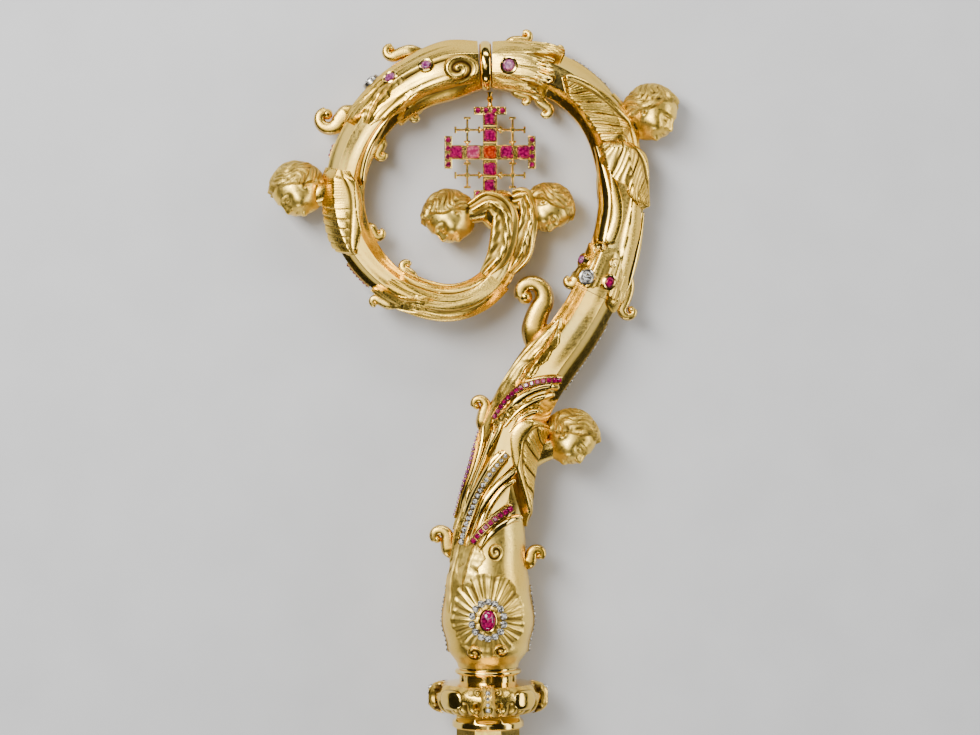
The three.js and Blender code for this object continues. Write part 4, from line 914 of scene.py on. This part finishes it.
def make_stem():
    piece = Piece()
    tube(piece, 0, CALYX_AT - 0.0006)
    shell(piece)
    leaf(piece, [(0.11, -84), (0.2, -96), (0.285, -84)], 15, 2.0, 4, 96, 30)
    for side in (1, -1):
        leaf(piece, [(0.205, -72), (0.245, -60), (0.291, -47)], 9.5, 2.2, 2, 84, side=side)
        leaf(piece, [(0.2355, -30), (0.2545, -25), (0.275, -24), (0.296, -44)], 5, 1.8, side=side)
        leaf(piece, [(0.112, -44), (0.086, -56), (0.046, -54)], 11, 1.3, 2, finish=SKIN, side=side)
        leaf(piece, [(0.102, -22), (0.088, -30), (0.064, -34)], 10, 1.7, 2, 52, 24, SKIN, side, 0.3)
        leaf(piece, [(0.085, -70), (0.11, -60), (0.145, -58)], 7, 1.6, side=side)
        leaf(piece, [(0.196, -50), (0.216, -28), (0.226, 26)], 8, 1.3, 4, 90, side=side)
        for line, width, rise, knob in STEM_RIBS:
            band(piece, line, width, rise, side=side, knob=knob)
    for line, width, rise in ((UPPER_BAND, 4.6, 2.2), (MIDDLE_BAND, 5, 2.4), (LOWER_BAND, 4.6, 2.2)):
        band(piece, line, width, rise, channel=0.7)
    for side in (1, -1):
        swirl(piece, 0.0965, 9, 3.0, 1.3, side, 1.2, 1.3, side, SKIN, 0.4)
        swirl(piece, 0.014, -19, 3.4, 1.3, side, 0.9, 1.2, side, SATIN, 0.9)
        swirl(piece, 0.016, 18, 3.1, 1.3, -side, 0.9, 1.2, side, SATIN, 0.9)
    for tip in STEM_TIPS:
        scroll(piece, *tip)
    bulb_stones(piece)
    stone_row(piece, "ruby_row_upper", RUBY, "ruby", UPPER_BAND, 1.7, 1.05, POLISHED, True)
    stone_row(piece, "diamond_row_middle", DIAMOND, "diamond", MIDDLE_BAND, 1.9, 1.1, POLISHED, grow=-0.4)
    stone_row(piece, "ruby_row_lower", RUBY, "ruby", LOWER_BAND, 1.7, 1.15, POLISHED, True)
    line = [(0.248, 90), (0.28, 90), (0.312, 90)]
    stone_row(piece, "diamond_row_stem_edge", DIAMOND, "diamond", line, 0.0, 0.85)
    line = [(0.188, -78), (0.1715, -67), (0.1495, -67), (0.127, -80), (0.12, -86)]
    stone_row(piece, None, PINK, "pink_sapphire", line, 2.1, 0.85, POLISHED)
    for name, angle in (("diamond_row_bulb_left", -90), ("diamond_row_bulb_right", 90)):
        line = [(0.012, angle), (0.04, angle), (0.067, angle)]
        stone_row(piece, name, DIAMOND, "diamond", line, -0.15, 0.9)
    finish_with(piece.build("stem_dressed"), "stem")


def across_lobe(angle, lobes, phase):
    """Place across a sheath's lobe: 0 at its middle, 0.5 and -0.5 at its edges."""
    return ((lobes * angle + phase) / 360 + 0.5) % 1 - 0.5


def veined(rise, lobes, veins=2, phase=0.0, lip=0.5, chased=0.5):
    """Height and painted shade of a sheath of pillowed lobes with midribs, veins and a raised lip: the shade
    is painted between the lobes and in the midribs.
    """

    def parts(t, angle):
        local = across_lobe(angle, lobes, phase)
        rib = bump(local, 0, 0.045) * smooth(t, 0.1, 0.5)
        vein = np.cos(2 * np.pi * (veins * 2 * np.abs(local) - 2.2 * t)) * smooth(t, 0.25, 0.7)
        return 1 - (1 - dome(2 * local)) * smooth(t, 0.02, 0.35), rib, vein

    def lift(t, angle):
        pillow, rib, vein = parts(t, angle)
        return 0.1 + rise(t) + lip * smooth(t, 0.75, 1) + 0.95 * pillow - 0.3 * rib + 0.09 * chased * vein

    def shade(t, angle):
        pillow, rib, vein = parts(t, angle)
        return np.clip(0.1 + 0.9 * pillow**0.8 - 0.5 * rib + 0.16 * chased * vein, 0.05, 1)

    return lift, shade


def teeth(angle, lobes, depth, phase=0.0):
    """Outline of a sheath's end: deep notches between the lobes and small teeth on them."""
    local = np.abs(across_lobe(angle, lobes, phase)) * 2
    return depth * (1 - local**2.5 + 0.28 * np.abs(np.cos(4 * np.pi * local)))


HALF_RING = (RING_WIDTH / 2 + GAP) / LENGTH


def make_arch():
    piece = Piece()
    tube(piece, CALYX_AT, RING_AT - HALF_RING)
    lift, shade = veined(lambda t: -0.2 + 1.7 * t * (1.2 - 0.2 * t), 5, 1, 150, chased=0.2)
    sleeve(piece, CALYX_AT + 0.04, lambda a: CALYX_AT + 0.0125 - teeth(a, 5, 0.0085, 150), lift, shade)
    lift, shade = veined(lambda t: 0.2 + 0.9 * np.sin(0.8 * np.pi * t), 6, phase=20, lip=1.3)
    sleeve(piece, RING_AT - HALF_RING, lambda a: RING_AT - 0.03 - teeth(a, 6, 0.022, 20), lift, shade)
    lift, shade = veined(lambda t: 0.2 + 0.5 * np.sin(np.pi * t), 7, 2, 150, 0.3)
    sleeve(piece, RING_AT - HALF_RING, lambda a: RING_AT - 0.037 - teeth(a, 7, 0.013, 150), lift, shade)
    for side in (1, -1):
        swirl(piece, 0.5353, -13, 2.6, 1.3, side, 1.1, 1.5, side, bed=0.4)
        swirl(piece, 0.3655, -30, 3.4, 1.5, -side, 1.1, 1.9, side)
        swirl(piece, 0.356, 12, 2.4, 1.2, side, 1.3, 1.3, side)
        line = [(0.458, -50), (0.43, -50), (0.405, -44), (0.385, -44), (0.366, -38)]
        band(piece, line, 7, 1.5, side=side)
        line = [(0.44, -28), (0.42, -18), (0.4, -8), (0.385, -8), (0.37, -14)]
        band(piece, line, 5, 1.1, side=side, finish=SATIN)
        line = [(0.43, 34), (0.385, 40), (0.352, 50), (0.322, 66)]
        band(piece, line, 11, 1.7, side=side, finish=SATIN)
        band(piece, [(0.4, 62), (0.37, 64), (0.345, 72), (0.325, 84)], 4, 2.4, side=side)
    for tip in ARCH_TIPS:
        scroll(piece, *tip)
    set_stone(piece, "calyx_ruby", PINK, "ruby", 0.351, -62, (1.9, 1.9), 1.6)
    set_stone(piece, "calyx_diamond", DIAMOND, "diamond", 0.338, -30, (2.5, 2.5), 2.4, SILVER)
    set_stone(piece, "calyx_garnet", RUBY, "ruby", 0.341, 14, (1.9, 2.4), 2.2)
    set_stone(piece, "arch_sapphire", PINK, "pink_sapphire", 0.571, -4, (2.7, 2.7), 1.5)
    set_stone(piece, "arch_edge_diamond", DIAMOND, "diamond", 0.411, 90, (3, 3), 0.4, SILVER)
    line = [(0.381, 90), (0.39, 90), (0.401, 90)]
    stone_row(piece, "pink_row_arch_edge", PINK, "pink_sapphire", line, 0.1, 0.85)
    line = [(0.493, 90), (0.51, 90), (0.526, 90)]
    stone_row(piece, "diamond_row_arch_top", DIAMOND, "diamond", line, 0.1, 0.95)
    finish_with(piece.build("arch_dressed"), "arch")


def make_volute():
    piece = Piece()
    tube(piece, RING_AT + HALF_RING, 1)
    lift, shade = veined(lambda t: 0.1 + 1.3 * np.sin(np.pi * (0.1 + 0.8 * t)), 6, 2, 90)
    end = lambda a: RING_AT + 0.066 + wave(a, 1, 0.03, -90) + teeth(a, 6, 0.022, 90)
    sleeve(piece, RING_AT + HALF_RING, end, lift, shade)
    lift, shade = veined(lambda t: 0.1 + 0.7 * np.sin(np.pi * t), 6, 2, lip=0.35)
    sleeve(piece, 0.945, lambda a: 0.869 - wave(a, 1, 0.014, -90) - teeth(a, 6, 0.012), lift, shade)
    for side in (1, -1):
        swirl(piece, 0.6125, -7, 5.6, 1.7, side, 1.5, 1.5, side, SATIN, 1.5)
        leaf(piece, [(0.648, 66), (0.6698, 52), (0.69, 50), (0.7105, 80)], 7, 1.9, 3, side=side)
        leaf(piece, [(0.635, -15), (0.66, -20), (0.6797, -34)], 8, 2.0, 3, side=side)
        leaf(piece, [(0.6522, 27), (0.677, 22), (0.7033, 2)], 9, 2.1, 3, side=side)
        band(piece, [(0.68, -30), (0.7015, -38), (0.7238, -42), (0.7562, -54)], 3.2, 1.7, side=side)
        band(piece, [(0.606, 40), (0.62, 58), (0.645, 62)], 4.5, 2.0, side=side)
        leaf(piece, [(0.888, 40), (0.87, 52), (0.8513, 84)], 6, 1.6, 3, side=side)
        leaf(piece, [(0.9, -16), (0.878, 4), (0.858, 30)], 6, 1.5, 3, side=side)
    for tip in VOLUTE_TIPS:
        scroll(piece, *tip)
    set_stone(piece, "volute_sapphire_upper", PINK, "pink_sapphire", 0.637, 18, (1.9, 2.3), 1.9)
    set_stone(piece, "volute_sapphire_lower", PINK, "pink_sapphire", 0.665, 38, (2, 2.5), 1.6)
    set_stone(piece, "volute_edge_diamond", DIAMOND, "diamond", 0.677, 86, (2.8, 2.8), 2.4, SILVER)
    line = [(0.728, 90), (0.733, 90), (0.738, 90)]
    stone_row(piece, "ruby_row_volute_edge", RUBY, "ruby", line, 0.1, 0.8)
    line = [(0.815, 90), (0.825, 90), (0.838, 90)]
    stone_row(piece, "ruby_row_volute_foot", RUBY, "ruby", line, 0.1, 0.8)
    finish_with(piece.build("volute_dressed"), "volute")


def make_ring():
    piece = Piece()
    centre, ahead, outer = station(RING_AT)
    half = RING_WIDTH / 2
    curve = [(RING_RADIUS - half * 0.7 * (1 - math.cos(x)), half * math.sin(x)) for x in ARC_OF_RIM]
    b = circle(90)[:, None]
    way = outer * np.sin(b) + FRONT * np.cos(b)
    rings = [centre + ahead * h + r * way for r, h in [(4, -half)] + curve + [(4, half)]]
    piece.grid(np.stack(rings), POLISHED, wrap_columns=True, flip=True)
    finish_with(piece.build("crown_ring_dressed"), "crown_ring")


PAIR_WINGS = [
    [(-13.5, -1.5, 3.2), (-6, 2.2, 4.2), (0.5, -3, 5.2), (0.5, -12, 5.8), (-2, -21, 5), (-8, -29, 2.2)],
    [(4, 4, 2.6), (9, 4, 3.4), (11, -4, 4), (9.5, -13, 4.4), (8, -21, 3.8), (3, -28, 2)],
]


def make_pair():
    piece = Piece()
    left, right = PAIR + [-22.2, -4.4, 0], PAIR + [19, -0.6, 0]
    cherub_head(piece, left, 150, 240, 0.97, 1.3)
    cherub_head(piece, right, 17, 287, 0.9, 2.1)
    limb(piece, PAIR, left, 5.6, 5.2)
    limb(piece, PAIR, right, 5.6, 5.2)
    globe(piece, PAIR + [-1, -2, 0], (9, 9, 6.5), SOFT, 24, 40)
    for k, points in enumerate(PAIR_WINGS):
        points = np.array(points, float)
        t = np.linspace(0, 1, 96)
        knots = np.linspace(0, 1, len(points))
        path = np.stack([spline(knots, points[:, i], t) for i in range(3)], -1)
        middle_line = np.concatenate([path[:, :2], np.zeros((96, 1))], 1) + PAIR
        way = unit(np.cross(FRONT, np.gradient(middle_line, axis=0)))
        depth = 3 + 4.2 * np.sin(np.pi * (0.25 + 0.6 * t)) - 1.2 * k
        u, v = t[:, None], over(40, -1)
        swing = v + 0.28 * np.sin(2 * np.pi * (0.9 * u + 0.15 + 0.3 * k))
        fold = np.cos(2 * np.pi * 0.85 * swing)
        barbs = np.cos(2 * np.pi * (8 * u - 1.5 * np.abs(v)))
        barbs *= smooth(u, 0.1, 0.25) * (1 - smooth(u, 0.85, 1))
        top = (1.3 + 0.6 * fold + 0.12 * barbs * (v < 0.5)) * dome(v) + 0.7 * dome((v - 0.74) / 0.25)
        # Painted shade in the folds, between the barbs and along a crease; the underside is painted darker.
        shade = np.clip(0.8 + 0.3 * fold, 0.1, 1) - 0.08 * (1 - barbs) * (v < 0.5) - 0.4 * bump(v, 0.48, 0.05)
        tone = np.concatenate([np.clip(shade, 0.05, 1), np.full_like(top, 0.4)], 1)
        for face in (1, -1):
            flat = middle_line[:, None] + way[:, None] * (v * path[:, 2:])[..., None]
            surface = flat + FRONT * (face * (depth[:, None] + top))[..., None]
            under = flat[:, ::-1] + FRONT * (face * (depth[:, None] - 1.6 * dome(v)))[..., None]
            piece.grid(np.concatenate([surface, under], 1), SATIN, tone, wrap_columns=True, flip=face < 0)
    finish_with(piece.build("cherub_pair_dressed"), "cherub_pair")


# Cross

def block(piece, centre, size):
    """Bar with its long edges softened."""
    x, y, z = (s / 2 for s in size)
    b = min(0.18, x * 0.5, y * 0.5, z * 0.5)
    corners = [(x - b, y), (x, y - b)]
    outline = []
    for sx, sy in ((1, 1), (1, -1), (-1, -1), (-1, 1)):
        pair = corners if sx * sy > 0 else corners[::-1]
        outline += [(sx * px, sy * py) for px, py in pair]
    outline = np.array(outline)
    inner = outline * [(x - b) / x, (y - b) / y]
    levels = [(inner, -z), (outline, -z + b), (outline, z - b), (inner, z)]
    rings = np.stack([np.concatenate([o, np.full((8, 1), h)], 1) for o, h in levels]) + centre
    piece.grid(rings, POLISHED, wrap_columns=True)
    faces = np.array([(0, i, i + 1) for i in range(1, 7)])
    piece.add(rings[0], faces, POLISHED)
    piece.add(rings[-1], faces[:, ::-1], POLISHED)


def make_cross():
    piece = Piece()
    c = CROSS_MIDDLE
    half = CROSS_SPAN / 2
    t = CROSS_THICKNESS
    for size in ((CROSS_SPAN, CROSS_BAR, t * 0.8), (CROSS_BAR, CROSS_SPAN, t * 0.8)):
        block(piece, c - [0, 0, t * 0.1], size)
    at = half - CROSS_CAP / 2
    axes = np.eye(3)
    small = stone_piece("cross_end_rubies", RUBY, "ruby")
    for k in (-1, 1):
        block(piece, c + [k * at, 0, 0], (CROSS_CAP, CROSS_END, t * 0.9))
        block(piece, c + [0, k * at, 0], (CROSS_END, CROSS_CAP, t * 0.9))
        for j in (-1.5, -0.5, 0.5, 1.5):
            for spot in ([k * at, j * CROSS_END / 4, 0], [j * CROSS_END / 4, k * at, 0]):
                foot = c + spot + [0, 0, t * 0.45]
                cut_stone(small, foot + [0, 0, 0.1], axes, (1.25, 1.25), 0.8, sides=8)
                for gx, gy in ((1, 1), (1, -1), (-1, 1), (-1, -1)):
                    globe(piece, foot + [gx * 1.15, gy * 1.15, 0.25], 0.34, POLISHED, 5, 7)
    pitch = (half - CROSS_CAP - CROSS_BAR / 2) / 2 + 0.6
    arms = {"right": (1, 0), "left": (-1, 0), "top": (0, 1), "bottom": (0, -1)}
    places = {"centre": (0, 0)}
    for arm, (x, y) in arms.items():
        for n in (1, 2):
            places["%s_%d" % (arm, n)] = (x * n, y * n)
    for name, (x, y) in places.items():
        foot = c + [x * pitch, y * pitch, t * 0.35]
        for k in (-1, 1):
            block(piece, foot + [k * 2.78, 0, 0.4], (0.44, 5.9, 1.5))
            block(piece, foot + [0, k * 2.78, 0.4], (5.9, 0.44, 1.5))
        material = {"centre": GARNET, "left_1": PALE}.get(name, RUBY)
        node_name = "cross_stone_" + name
        slot = "garnet" if name == "centre" else "ruby"
        stone = stone_piece(node_name, material, slot, (node_name,))
        size = (2.3, 2.85) if name in ("top_2", "bottom_2") else (2.8, 2.8)
        cut_stone(stone, foot + [0, 0, 0.55], axes, size, 1.35, sides=8, table=0.66, square=True)
    reach = CROSSLET_PLACE + CROSSLET_SPAN / 2
    for i in (-1, 1):
        for j in (-1, 1):
            x, y = i * CROSSLET_PLACE, j * CROSSLET_PLACE
            mid, length = (reach + CROSS_BAR / 2 - 1) / 2, reach - CROSS_BAR / 2 + 1
            block(piece, c + [i * mid, y, 0], (length, 0.95, 0.95))
            block(piece, c + [x, j * mid, 0], (0.95, length, 0.95))
            for k in (-1, 1):
                block(piece, c + [x + k * CROSSLET_SPAN / 2, y, 0], (1.0, 2.9, 1.1))
                block(piece, c + [x, y + k * CROSSLET_SPAN / 2, 0], (2.9, 1.0, 1.1))
            block(piece, c + [x, y, 0], (1.9, 1.9, 1.3))
            for bead in ([i * (CROSS_BAR / 2 + 1.1), y, 0], [x, j * (CROSS_BAR / 2 + 1.1), 0]):
                globe(piece, c + bead, 0.85, POLISHED, 8, 12)
    top = c[1] + half
    pin = station(RING_AT)[0][1] - RING_RADIUS - GAP - top
    swell = [(1.1, 0.12), (0.8, 0.3), (1.2, 0.42), (1.5, 0.5)]
    swell += [(1.2, 0.6), (0.8, 0.72), (1, 0.85), (1.3, 0.95)]
    profile = [(0, -1), (1.5, -1), (1.6, 0)] + [(r, k * pin) for r, k in swell] + [(0, pin)]
    turned(piece, profile, POLISHED, 24, centre=(c[0], top, 0))
    finish_with(piece.build("jerusalem_cross_dressed"), "jerusalem_cross")


# Knop and socket

def make_knop():
    piece = Piece()
    base, half, waist = SOCKET_LENGTH, KNOP_HEIGHT / 2, SOCKET_RADIUS - 1
    neck = base + KNOP_HEIGHT
    a = np.radians(np.linspace(-75, 60, 54))
    cushion = [(mix(waist, KNOP_RADIUS, math.cos(x) ** 0.6), base + half * (1 + math.sin(x))) for x in a]
    bead = ARC_OF_RIM[::2]

    def leaves(angle, i):
        low = smooth(i, 2, 8) * (1 - smooth(i, 26, 33))
        high = smooth(i, 38, 44) * (1 - smooth(i, 52, 56))
        ribs, lobes = np.abs(np.sin(14 * angle)), np.abs(np.sin(10 * angle))
        return 1 - 0.06 * low * (1 - ribs) - 0.025 * high * (1 - lobes)

    # Painted shade on the knop's foot and waist, and in the leaf's grooves, which turned() darkens.
    shade = [0.4, 0.4] + [0.95] * 54
    turned(piece, [(2, base), (waist, base)] + cushion, SATIN, 252, ripple=leaves, shade=shade)
    collar = [cushion[-1], (NECK_RADIUS, neck), (NECK_RADIUS, neck + 0.3 * NECK_HEIGHT)]
    heights = [neck + (0.68 + 0.2 * math.sin(x)) * NECK_HEIGHT for x in bead]
    bulge = [(NECK_RADIUS + 0.2 + 1.7 * math.cos(x), y) for x, y in zip(bead, heights)]
    rim = [(NECK_RADIUS + 0.2, NECK_TOP - GAP), (2, NECK_TOP - GAP)]
    turned(piece, collar + bulge + rim, POLISHED, 96)
    mounts = stone_piece("knop_diamonds", DIAMOND, "diamond")
    up = np.array([0, 1, 0.0])
    for k in range(4):
        b = k * math.pi / 2
        out = np.array([math.sin(b), 0, math.cos(b)])
        aside = np.array([math.cos(b), 0, -math.sin(b)])
        t, v = down(40), over(27, -1)
        swing = np.radians(mix(-70, 78, t))
        y = base + half * (1 + 1.02 * np.sin(swing))
        reach = mix(waist, KNOP_RADIUS, np.clip(np.cos(swing), 0, 1) ** 0.6)
        flute = 0.35 * np.cos(4 * np.pi * v) * dome(v)
        stand = reach + (KNOP_MOUNT * (0.75 + 0.25 * np.sin(np.pi * t)) - 0.3) * dome(v) + flute
        stand = np.minimum(stand, KNOP_RADIUS + KNOP_MOUNT - 0.9)
        width = mix(3.9, 2.4, t) * (1 + 0.12 * np.cos(6 * np.pi * t))
        points = out * stand[..., None] + up * y[..., None] + aside * (v * width)[..., None]
        # Painted shade along the mount's edges and in its flutes.
        tone = np.clip(0.35 + 0.65 * dome(v) + 0.8 * flute, 0.05, 1)
        piece.grid(points, SATIN, tone, flip=True)
        for dy, size in ((-2.8, 0.95), (-0.6, 1.15), (1.8, 1.1), (4.0, 0.85)):
            foot = out * (KNOP_RADIUS + KNOP_MOUNT - 1.35) + up * (base + half + dy)
            axes = np.stack([aside, up, out])
            collet(piece, foot - out * 0.5, axes, (size, size), 0.6, SILVER, 0.25, bed=1)
            cut_stone(mounts, foot - out * 0.2, axes, (size, size), 0.8, sides=8)
        for sign in (-1, 1):
            for dy, far, r in ((3.9, 4.3, 1.7), (-3.6, 4.6, 1.3)):
                place = out * (KNOP_RADIUS - 0.2) + up * (base + half + dy) + aside * sign * far
                curl_bead(piece, place, aside * sign, up, out, r)
        across_corner, middle_out = (aside + out) / math.sqrt(2), (out - aside) / math.sqrt(2)
        pad(piece, middle_out, across_corner, up, base + half + 0.3)
    finish_with(piece.build("knop_dressed"), "knop")


def curl_bead(piece, place, x, y, z, radius):
    """Small curl in relief: a ridge round a bead."""
    rho, theta = down(16), circle(40)[None, :]
    ridge = np.cos(2 * np.pi * 1.5 * rho - theta)
    high = 0.9 * (1 - rho**2) + 0.3 * ridge * rho
    flat = (radius * rho * np.cos(theta))[..., None] * x + (radius * rho * np.sin(theta))[..., None] * y
    points = place + flat + high[..., None] * z
    skirt = points[-1:] - z * 2.5
    # Painted shade in the curl's groove and on its skirt.
    tone = np.concatenate([np.clip(0.6 + 0.5 * ridge, 0.1, 1), np.full((1, 40), 0.1)])
    turn_over = np.cross(x, y) @ z < 0
    piece.grid(np.concatenate([points, skirt]), SATIN, tone, wrap_columns=True, flip=turn_over)


def pad(piece, out, aside, up, height):
    """Polished boss with a flat oval face on the knop's side."""
    theta = circle(48)[None, :]
    rho = np.array([0, 0.3, 0.6, 0.78, 0.9, 0.97, 1.0, 1.0])[:, None]
    high = np.array([1.15, 1.15, 1.1, 1.0, 0.75, 0.4, 0.0, -1.5])[:, None]
    x, y = boxy(np.cos(theta), 0.7), boxy(np.sin(theta), 0.8)
    arc = 6.6 * rho * x / KNOP_RADIUS
    r = KNOP_RADIUS - 0.35 + high - 0.012 * (4.2 * rho * y) ** 2
    points = (r * np.cos(arc))[..., None] * out + (r * np.sin(arc))[..., None] * aside
    points = points + up * (height + 4.2 * rho * y)[..., None]
    # Painted shade round the boss's edge.
    tone = np.array([1, 1, 1, 1, 0.9, 0.5, 0.2, 0.1])[:, None]
    piece.grid(points, POLISHED, tone, wrap_columns=True, flip=np.cross(aside, up) @ out < 0)


def make_socket():
    piece = Piece()
    bore, top = SOCKET_RADIUS - SOCKET_WALL, SOCKET_LENGTH - GAP
    outside = [(1.2, 0), (1.2, 2.2), (0.7, 3.2), (0, 4.5), (0, top - 6)]
    outside += [(0.9, top - 5.2), (0.9, top - 3.4), (-0.2, top)]
    columns = np.radians(tube_columns())[None, :]
    local = (np.degrees(columns) + 22.5) % 45 - 22.5
    flat = math.cos(math.radians(22.5)) / np.cos(np.radians(local))
    steps = np.linspace(0, 7, 57)
    r, y = (np.interp(steps, range(8), column)[:, None] for column in zip(*outside))
    bead = smooth(r, 0.2, 0.8) * (y > top / 2)
    r = (SOCKET_RADIUS + r) * mix(flat, 1, bead)

    def ring(r, y):
        return np.stack([r * np.sin(columns), y * np.ones_like(columns), r * np.cos(columns)], -1)

    points = np.concatenate([ring(bore, top), ring(bore, 20), ring(bore, 0), ring(r, y), ring(bore, top)])
    piece.grid(points, POLISHED, wrap_columns=True, flip=True)
    finish_with(piece.build("staff_socket_dressed"), "staff_socket")


STEM_WING = dict(
    rim=[(0.214, 84), (0.211, 17), (0.195, -3), (0.175, 13), (0.15, 46), (0.12, 76)],
    hem=[(0.206, 96), (0.2, 96), (0.186, 98), (0.163, 100), (0.14, 98), (0.119, 92)],
    feathers=6,
    rise=2.6,
)
UPPER_WING = dict(
    rim=[(0.462, 70), (0.478, 50), (0.492, 39), (0.507, 25), (0.5215, 15), (0.5262, 1)],
    hem=[(0.4545, 14), (0.463, -21), (0.4763, -33), (0.4895, -28), (0.5018, -28), (0.5158, -26)],
    feathers=5,
    sweep=3.2,
    fine=1.0,
)
LOWER_WING = dict(
    rim=[(0.452, 48), (0.435, 84), (0.4268, 88), (0.416, 88), (0.408, 82), (0.4027, 62)],
    hem=[(0.4597, -24), (0.4495, -41), (0.4323, -23), (0.4208, 4), (0.4105, 22), (0.4032, 44)],
    feathers=4,
    sweep=2.6,
    fine=1.0,
)
LEFT_WING = dict(
    rim=[(0.745, -8), (0.7622, -39), (0.7795, -43), (0.796, -26), (0.8075, -4), (0.8143, 15)],
    hem=[(0.7482, 84), (0.7625, 84), (0.775, 87), (0.7868, 87), (0.799, 80), (0.8115, 41)],
    feathers=10,
    sweep=-0.6,
    bare=0.35,
    fine=0.2,
)
for make in (make_stem, make_arch, make_volute, make_ring, make_pair, make_cross, make_knop, make_socket):
    make()
cherub("cherub_stem", 0.185, 20, beside(0.211, 22.7), 36, 306, [STEM_WING], seed=0.4)
cherub("cherub_upper", 0.468, 22, beside(0.4673, 19.4), 63, 333, [UPPER_WING, LOWER_WING], 1.02, 2.9)
cherub("cherub_left", 0.761, 16, beside(0.761, 19.6), 144, 234, [LEFT_WING], seed=4.2)
for piece, material, nodes, name, slot in stones:
    MATERIALS[STONE] = material
    finish_with(piece.build(name + "_cut"), *nodes, slot=slot)


# Floor, light and camera

def make_floor():
    mesh = bpy.data.meshes.new("floor")
    mesh.from_pydata([(-3, -3, 0), (3, -3, 0), (3, 3, 0), (-3, 3, 0)], [], [(0, 1, 2, 3)])
    floor = bpy.data.objects.new("floor", mesh)
    bpy.context.scene.collection.objects.link(floor)
    material, tree, shader = new_material("pale_floor")
    grain = texture(tree, "ShaderNodeTexNoise", Scale=30.0, Detail=4.0)
    tone = ramp(tree, grain.outputs["Fac"], 0.3, 0.7, [(0.61, 0.61, 0.61), (0.65, 0.65, 0.65)])
    tree.links.new(tone, shader.inputs["Base Color"])
    shader.inputs["Roughness"].default_value = 0.7
    mesh.materials.append(material)


def softbox(name, place, target, size, power):
    light = bpy.data.lights.new(name, "AREA")
    light.shape = "RECTANGLE"
    light.size, light.size_y = size
    light.energy = power
    obj = bpy.data.objects.new(name, light)
    obj.location = place
    obj.rotation_euler = (Vector(target) - Vector(place)).to_track_quat("-Z", "Y").to_euler()
    bpy.context.scene.collection.objects.link(obj)


def make_camera():
    """Looks straight down on the head's plane, framed as the photograph is."""
    width, height, scale = 980, 735, 0.42  # the photo in pixels, and millimetres a pixel
    axis_column, mouth_row, middle_height = 488, 810, 8.0
    data = bpy.data.cameras.new("camera")
    data.sensor_width = 36
    data.lens = 100
    camera = bpy.data.objects.new("camera", data)
    bpy.context.scene.collection.objects.link(camera)
    aim = np.array([(width / 2 - axis_column) * scale, (mouth_row - height / 2) * scale, middle_height])
    place = lay(aim + [0, 0, width * scale / data.sensor_width * data.lens])
    camera.matrix_world = Matrix([[*turn, at] for turn, at in zip(TURN, place)] + [[0, 0, 0, 1]])
    bpy.context.scene.camera = camera


SOFTBOXES = [  # name, place, target, size and power
    ("key", (-0.5, 0.5, 0.95), (0, 0.02, 0), (0.34, 0.75), 19),
    ("coil", (-0.38, 0.12, 1.3), (-0.38, 0.12, 0), (0.52, 0.6), 2.9),
    ("stem", (0.09, 0.055, 1.3), (0.09, 0.055, 0), (0.38, 0.27), 1.0),
    ("socket", (0.0, -0.25, 1.3), (0.0, -0.25, 0), (0.14, 0.1), 0.11),
    ("side", (1.0, 0.1, 0.4), (0, 0, 0), (1.1, 0.3), 6),
    ("top", (0.1, 1.0, 0.6), (0, 0, 0), (0.9, 0.2), 6),
    ("foot", (-0.1, -0.95, 0.5), (0, 0, 0), (0.6, 0.15), 3),
]
make_floor()
for box in SOFTBOXES:
    softbox(*box)
world = bpy.data.worlds.new("studio")
world.use_nodes = True
world.node_tree.nodes["Background"].inputs["Color"].default_value = (0.30, 0.30, 0.31, 1)
world.node_tree.nodes["Background"].inputs["Strength"].default_value = 0.06
bpy.context.scene.world = world
make_camera()
